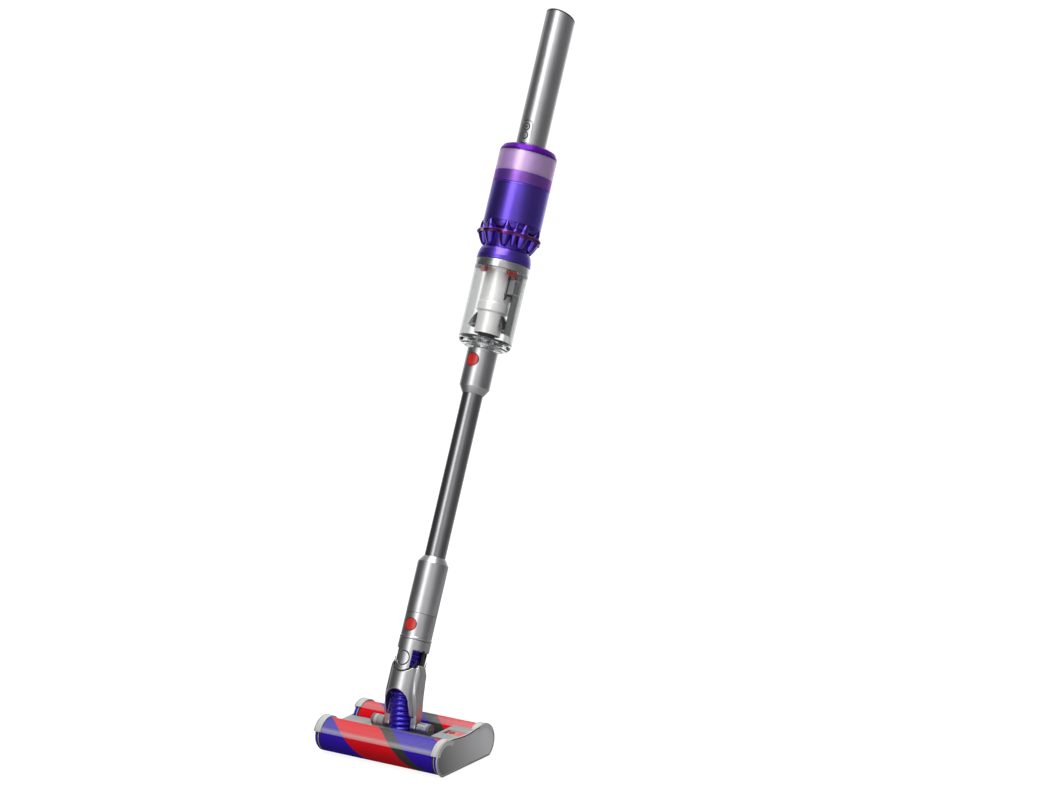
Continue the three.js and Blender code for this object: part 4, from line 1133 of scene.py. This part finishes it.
TARGET_X, TARGET_Z, DISTANCE = 0.198986, 0.539115, 5.192
BEARING, RISE = math.radians(33.417), math.radians(13.419)
FOCAL_PX, FRAME_PX, SENSOR = 3924, 1048, 36


def camera():
    data = bpy.data.cameras.new("camera")
    data.sensor_width, data.lens = SENSOR, FOCAL_PX / FRAME_PX * SENSOR
    data.clip_end = 60
    made = new_object("camera", data)
    level = math.cos(RISE)
    back = Vector((math.sin(BEARING) * level, -math.cos(BEARING) * level, math.sin(RISE)))
    made.location = Vector((TARGET_X, pivot.y + 0.003, TARGET_Z)) + back * DISTANCE
    made.rotation_euler = back.to_track_quat("Z", "Y").to_euler()
    bpy.context.scene.camera = made


def soft_light(name, turn, distance, width, height, z, radiance):
    """A large soft light facing the stick from a bearing."""
    where = Vector((math.sin(turn) * distance, -math.cos(turn) * distance, z))
    lamp = bpy.data.lights.new(name, "AREA")
    lamp.shape, lamp.size, lamp.size_y = "RECTANGLE", width, height
    lamp.energy = radiance * math.pi * width * height
    made = new_object(name, lamp)
    made.location = where
    made.rotation_euler = (Vector((0, 0, 0.55)) - where).to_track_quat("-Z", "Y").to_euler()
    made.visible_camera = False


def card(name, corners, faces, n, glow, alpha):
    """A glowing card that only shows in reflections."""
    mesh = bpy.data.meshes.new(name)
    mesh.from_pydata(corners, [], faces)
    n.set(Base_Color=(0.0, 0.0, 0.0, 1), Specular_IOR_Level=0.0, Emission_Strength=1.0)
    n.set(Emission_Color=glow, Alpha=alpha)
    mesh.materials.append(n.material)
    made = new_object(name, mesh)
    made.visible_camera = made.visible_diffuse = made.visible_shadow = made.visible_transmission = False


def flag(name, start, stop, levels, distance=0.75, height=2.6):
    """A curved card between two bearings, of graded brightness and with soft ends."""
    count = 24
    corners = []
    for k in range(count + 1):
        turn = start + (stop - start) * k / count
        corners += [(math.sin(turn) * distance, -math.cos(turn) * distance, z) for z in (0.01, height)]
    faces = [(2 * k, 2 * k + 1, 2 * k + 3, 2 * k + 2) for k in range(count)]
    n = Nodes(name)
    centred = n.add("ShaderNodeVectorRotate", rotation_type="Z_AXIS")
    n.link(n.place, centred.inputs["Vector"])
    centred.inputs["Angle"].default_value = -(start + stop) / 2
    parts = n.add("ShaderNodeSeparateXYZ")
    n.link(centred.outputs[0], parts.inputs[0])
    angle = n.maths("ARCTAN2", parts.outputs[0], n.times(parts.outputs[1], -1.0))
    share = n.spread(angle, 0.0, 1.0, (start - stop) / 2, (stop - start) / 2)
    glow = n.ramp(share, [(k / (len(levels) - 1), (v, v, v)) for k, v in enumerate(levels)])
    ends = [(place, (v, v, v)) for place, v in ((0.0, 0), (0.2, 1), (0.8, 1), (1.0, 0))]
    card(name, corners, faces, n, glow, n.ramp(share, ends, "EASE"))


def low_card():
    """A round grey card on the floor, fading out at its edge."""
    n = Nodes("low_card")
    reach = n.add("ShaderNodeVectorMath", operation="LENGTH")
    n.link(n.place, reach.inputs[0])
    glow = n.mix(n.noise(0.002, 2), (0.30, 0.30, 0.30), (0.36, 0.36, 0.36))
    corners = [(x, y, 0.002) for x, y in circle(1.6, 64)]
    fade = n.spread(reach.outputs["Value"], 1.0, 0.0, 0.5, 1.5)
    card("low_card", corners, [tuple(range(64))], n, glow, fade)


def pale_floor():
    mesh = bpy.data.meshes.new("floor")
    mesh.from_pydata([(x, y, 0) for x, y in circle(40.0, 96)], [], [tuple(range(96))])
    n = Nodes("pale_floor")
    n.set(Base_Color=n.mix(n.noise(0.004, 3), (0.19, 0.19, 0.19), (0.21, 0.21, 0.21)), Roughness=0.9)
    n.set(Emission_Color=(1, 1, 1, 1), Emission_Strength=0.885)
    mesh.materials.append(n.material)
    floor = new_object("floor", mesh)
    floor.visible_diffuse = False


def surroundings():
    """An even pale sky, darker below the horizon."""
    world = bpy.data.worlds.new("studio")
    world.use_nodes = True
    tree = world.node_tree
    direction = tree.nodes.new("ShaderNodeTexCoord")
    parts = tree.nodes.new("ShaderNodeSeparateXYZ")
    sky = tree.nodes.new("ShaderNodeValToRGB")
    sky.color_ramp.elements[0].color = (0.32, 0.32, 0.32, 1)
    sky.color_ramp.elements[1].position = 0.06
    tree.links.new(direction.outputs["Generated"], parts.inputs[0])
    tree.links.new(parts.outputs["Z"], sky.inputs[0])
    tree.links.new(sky.outputs["Color"], tree.nodes["Background"].inputs["Color"])
    tree.nodes["Background"].inputs["Strength"].default_value = 0.68
    bpy.context.scene.world = world
    bpy.context.scene.view_settings.view_transform = "Standard"


def beside(degrees):
    """A bearing so many degrees on from the camera's."""
    return BEARING + math.radians(degrees)


def studio():
    pale_floor()
    surroundings()
    soft_light("key", beside(-32), 2.0, 0.9, 3.0, 1.6, 1.75)
    soft_light("top", beside(0), 0.3, 2.6, 2.6, 3.0, 3.8)
    flag("flag_left", beside(-150), beside(-46), (0.26, 0.10, 0.07, 0.09, 0.20))
    flag("flag_right", beside(12), beside(150), (0.4, 0.24, 0.14, 0.17, 0.28, 0.45))
    low_card()


camera()
studio()
dress_cad()
head_pieces()
neck_pieces()
wand_pieces()
bin_pieces()
inside_bin()
bin_catches()
crown_pieces()
motor_pieces()
filter_pieces()
handle_pieces()
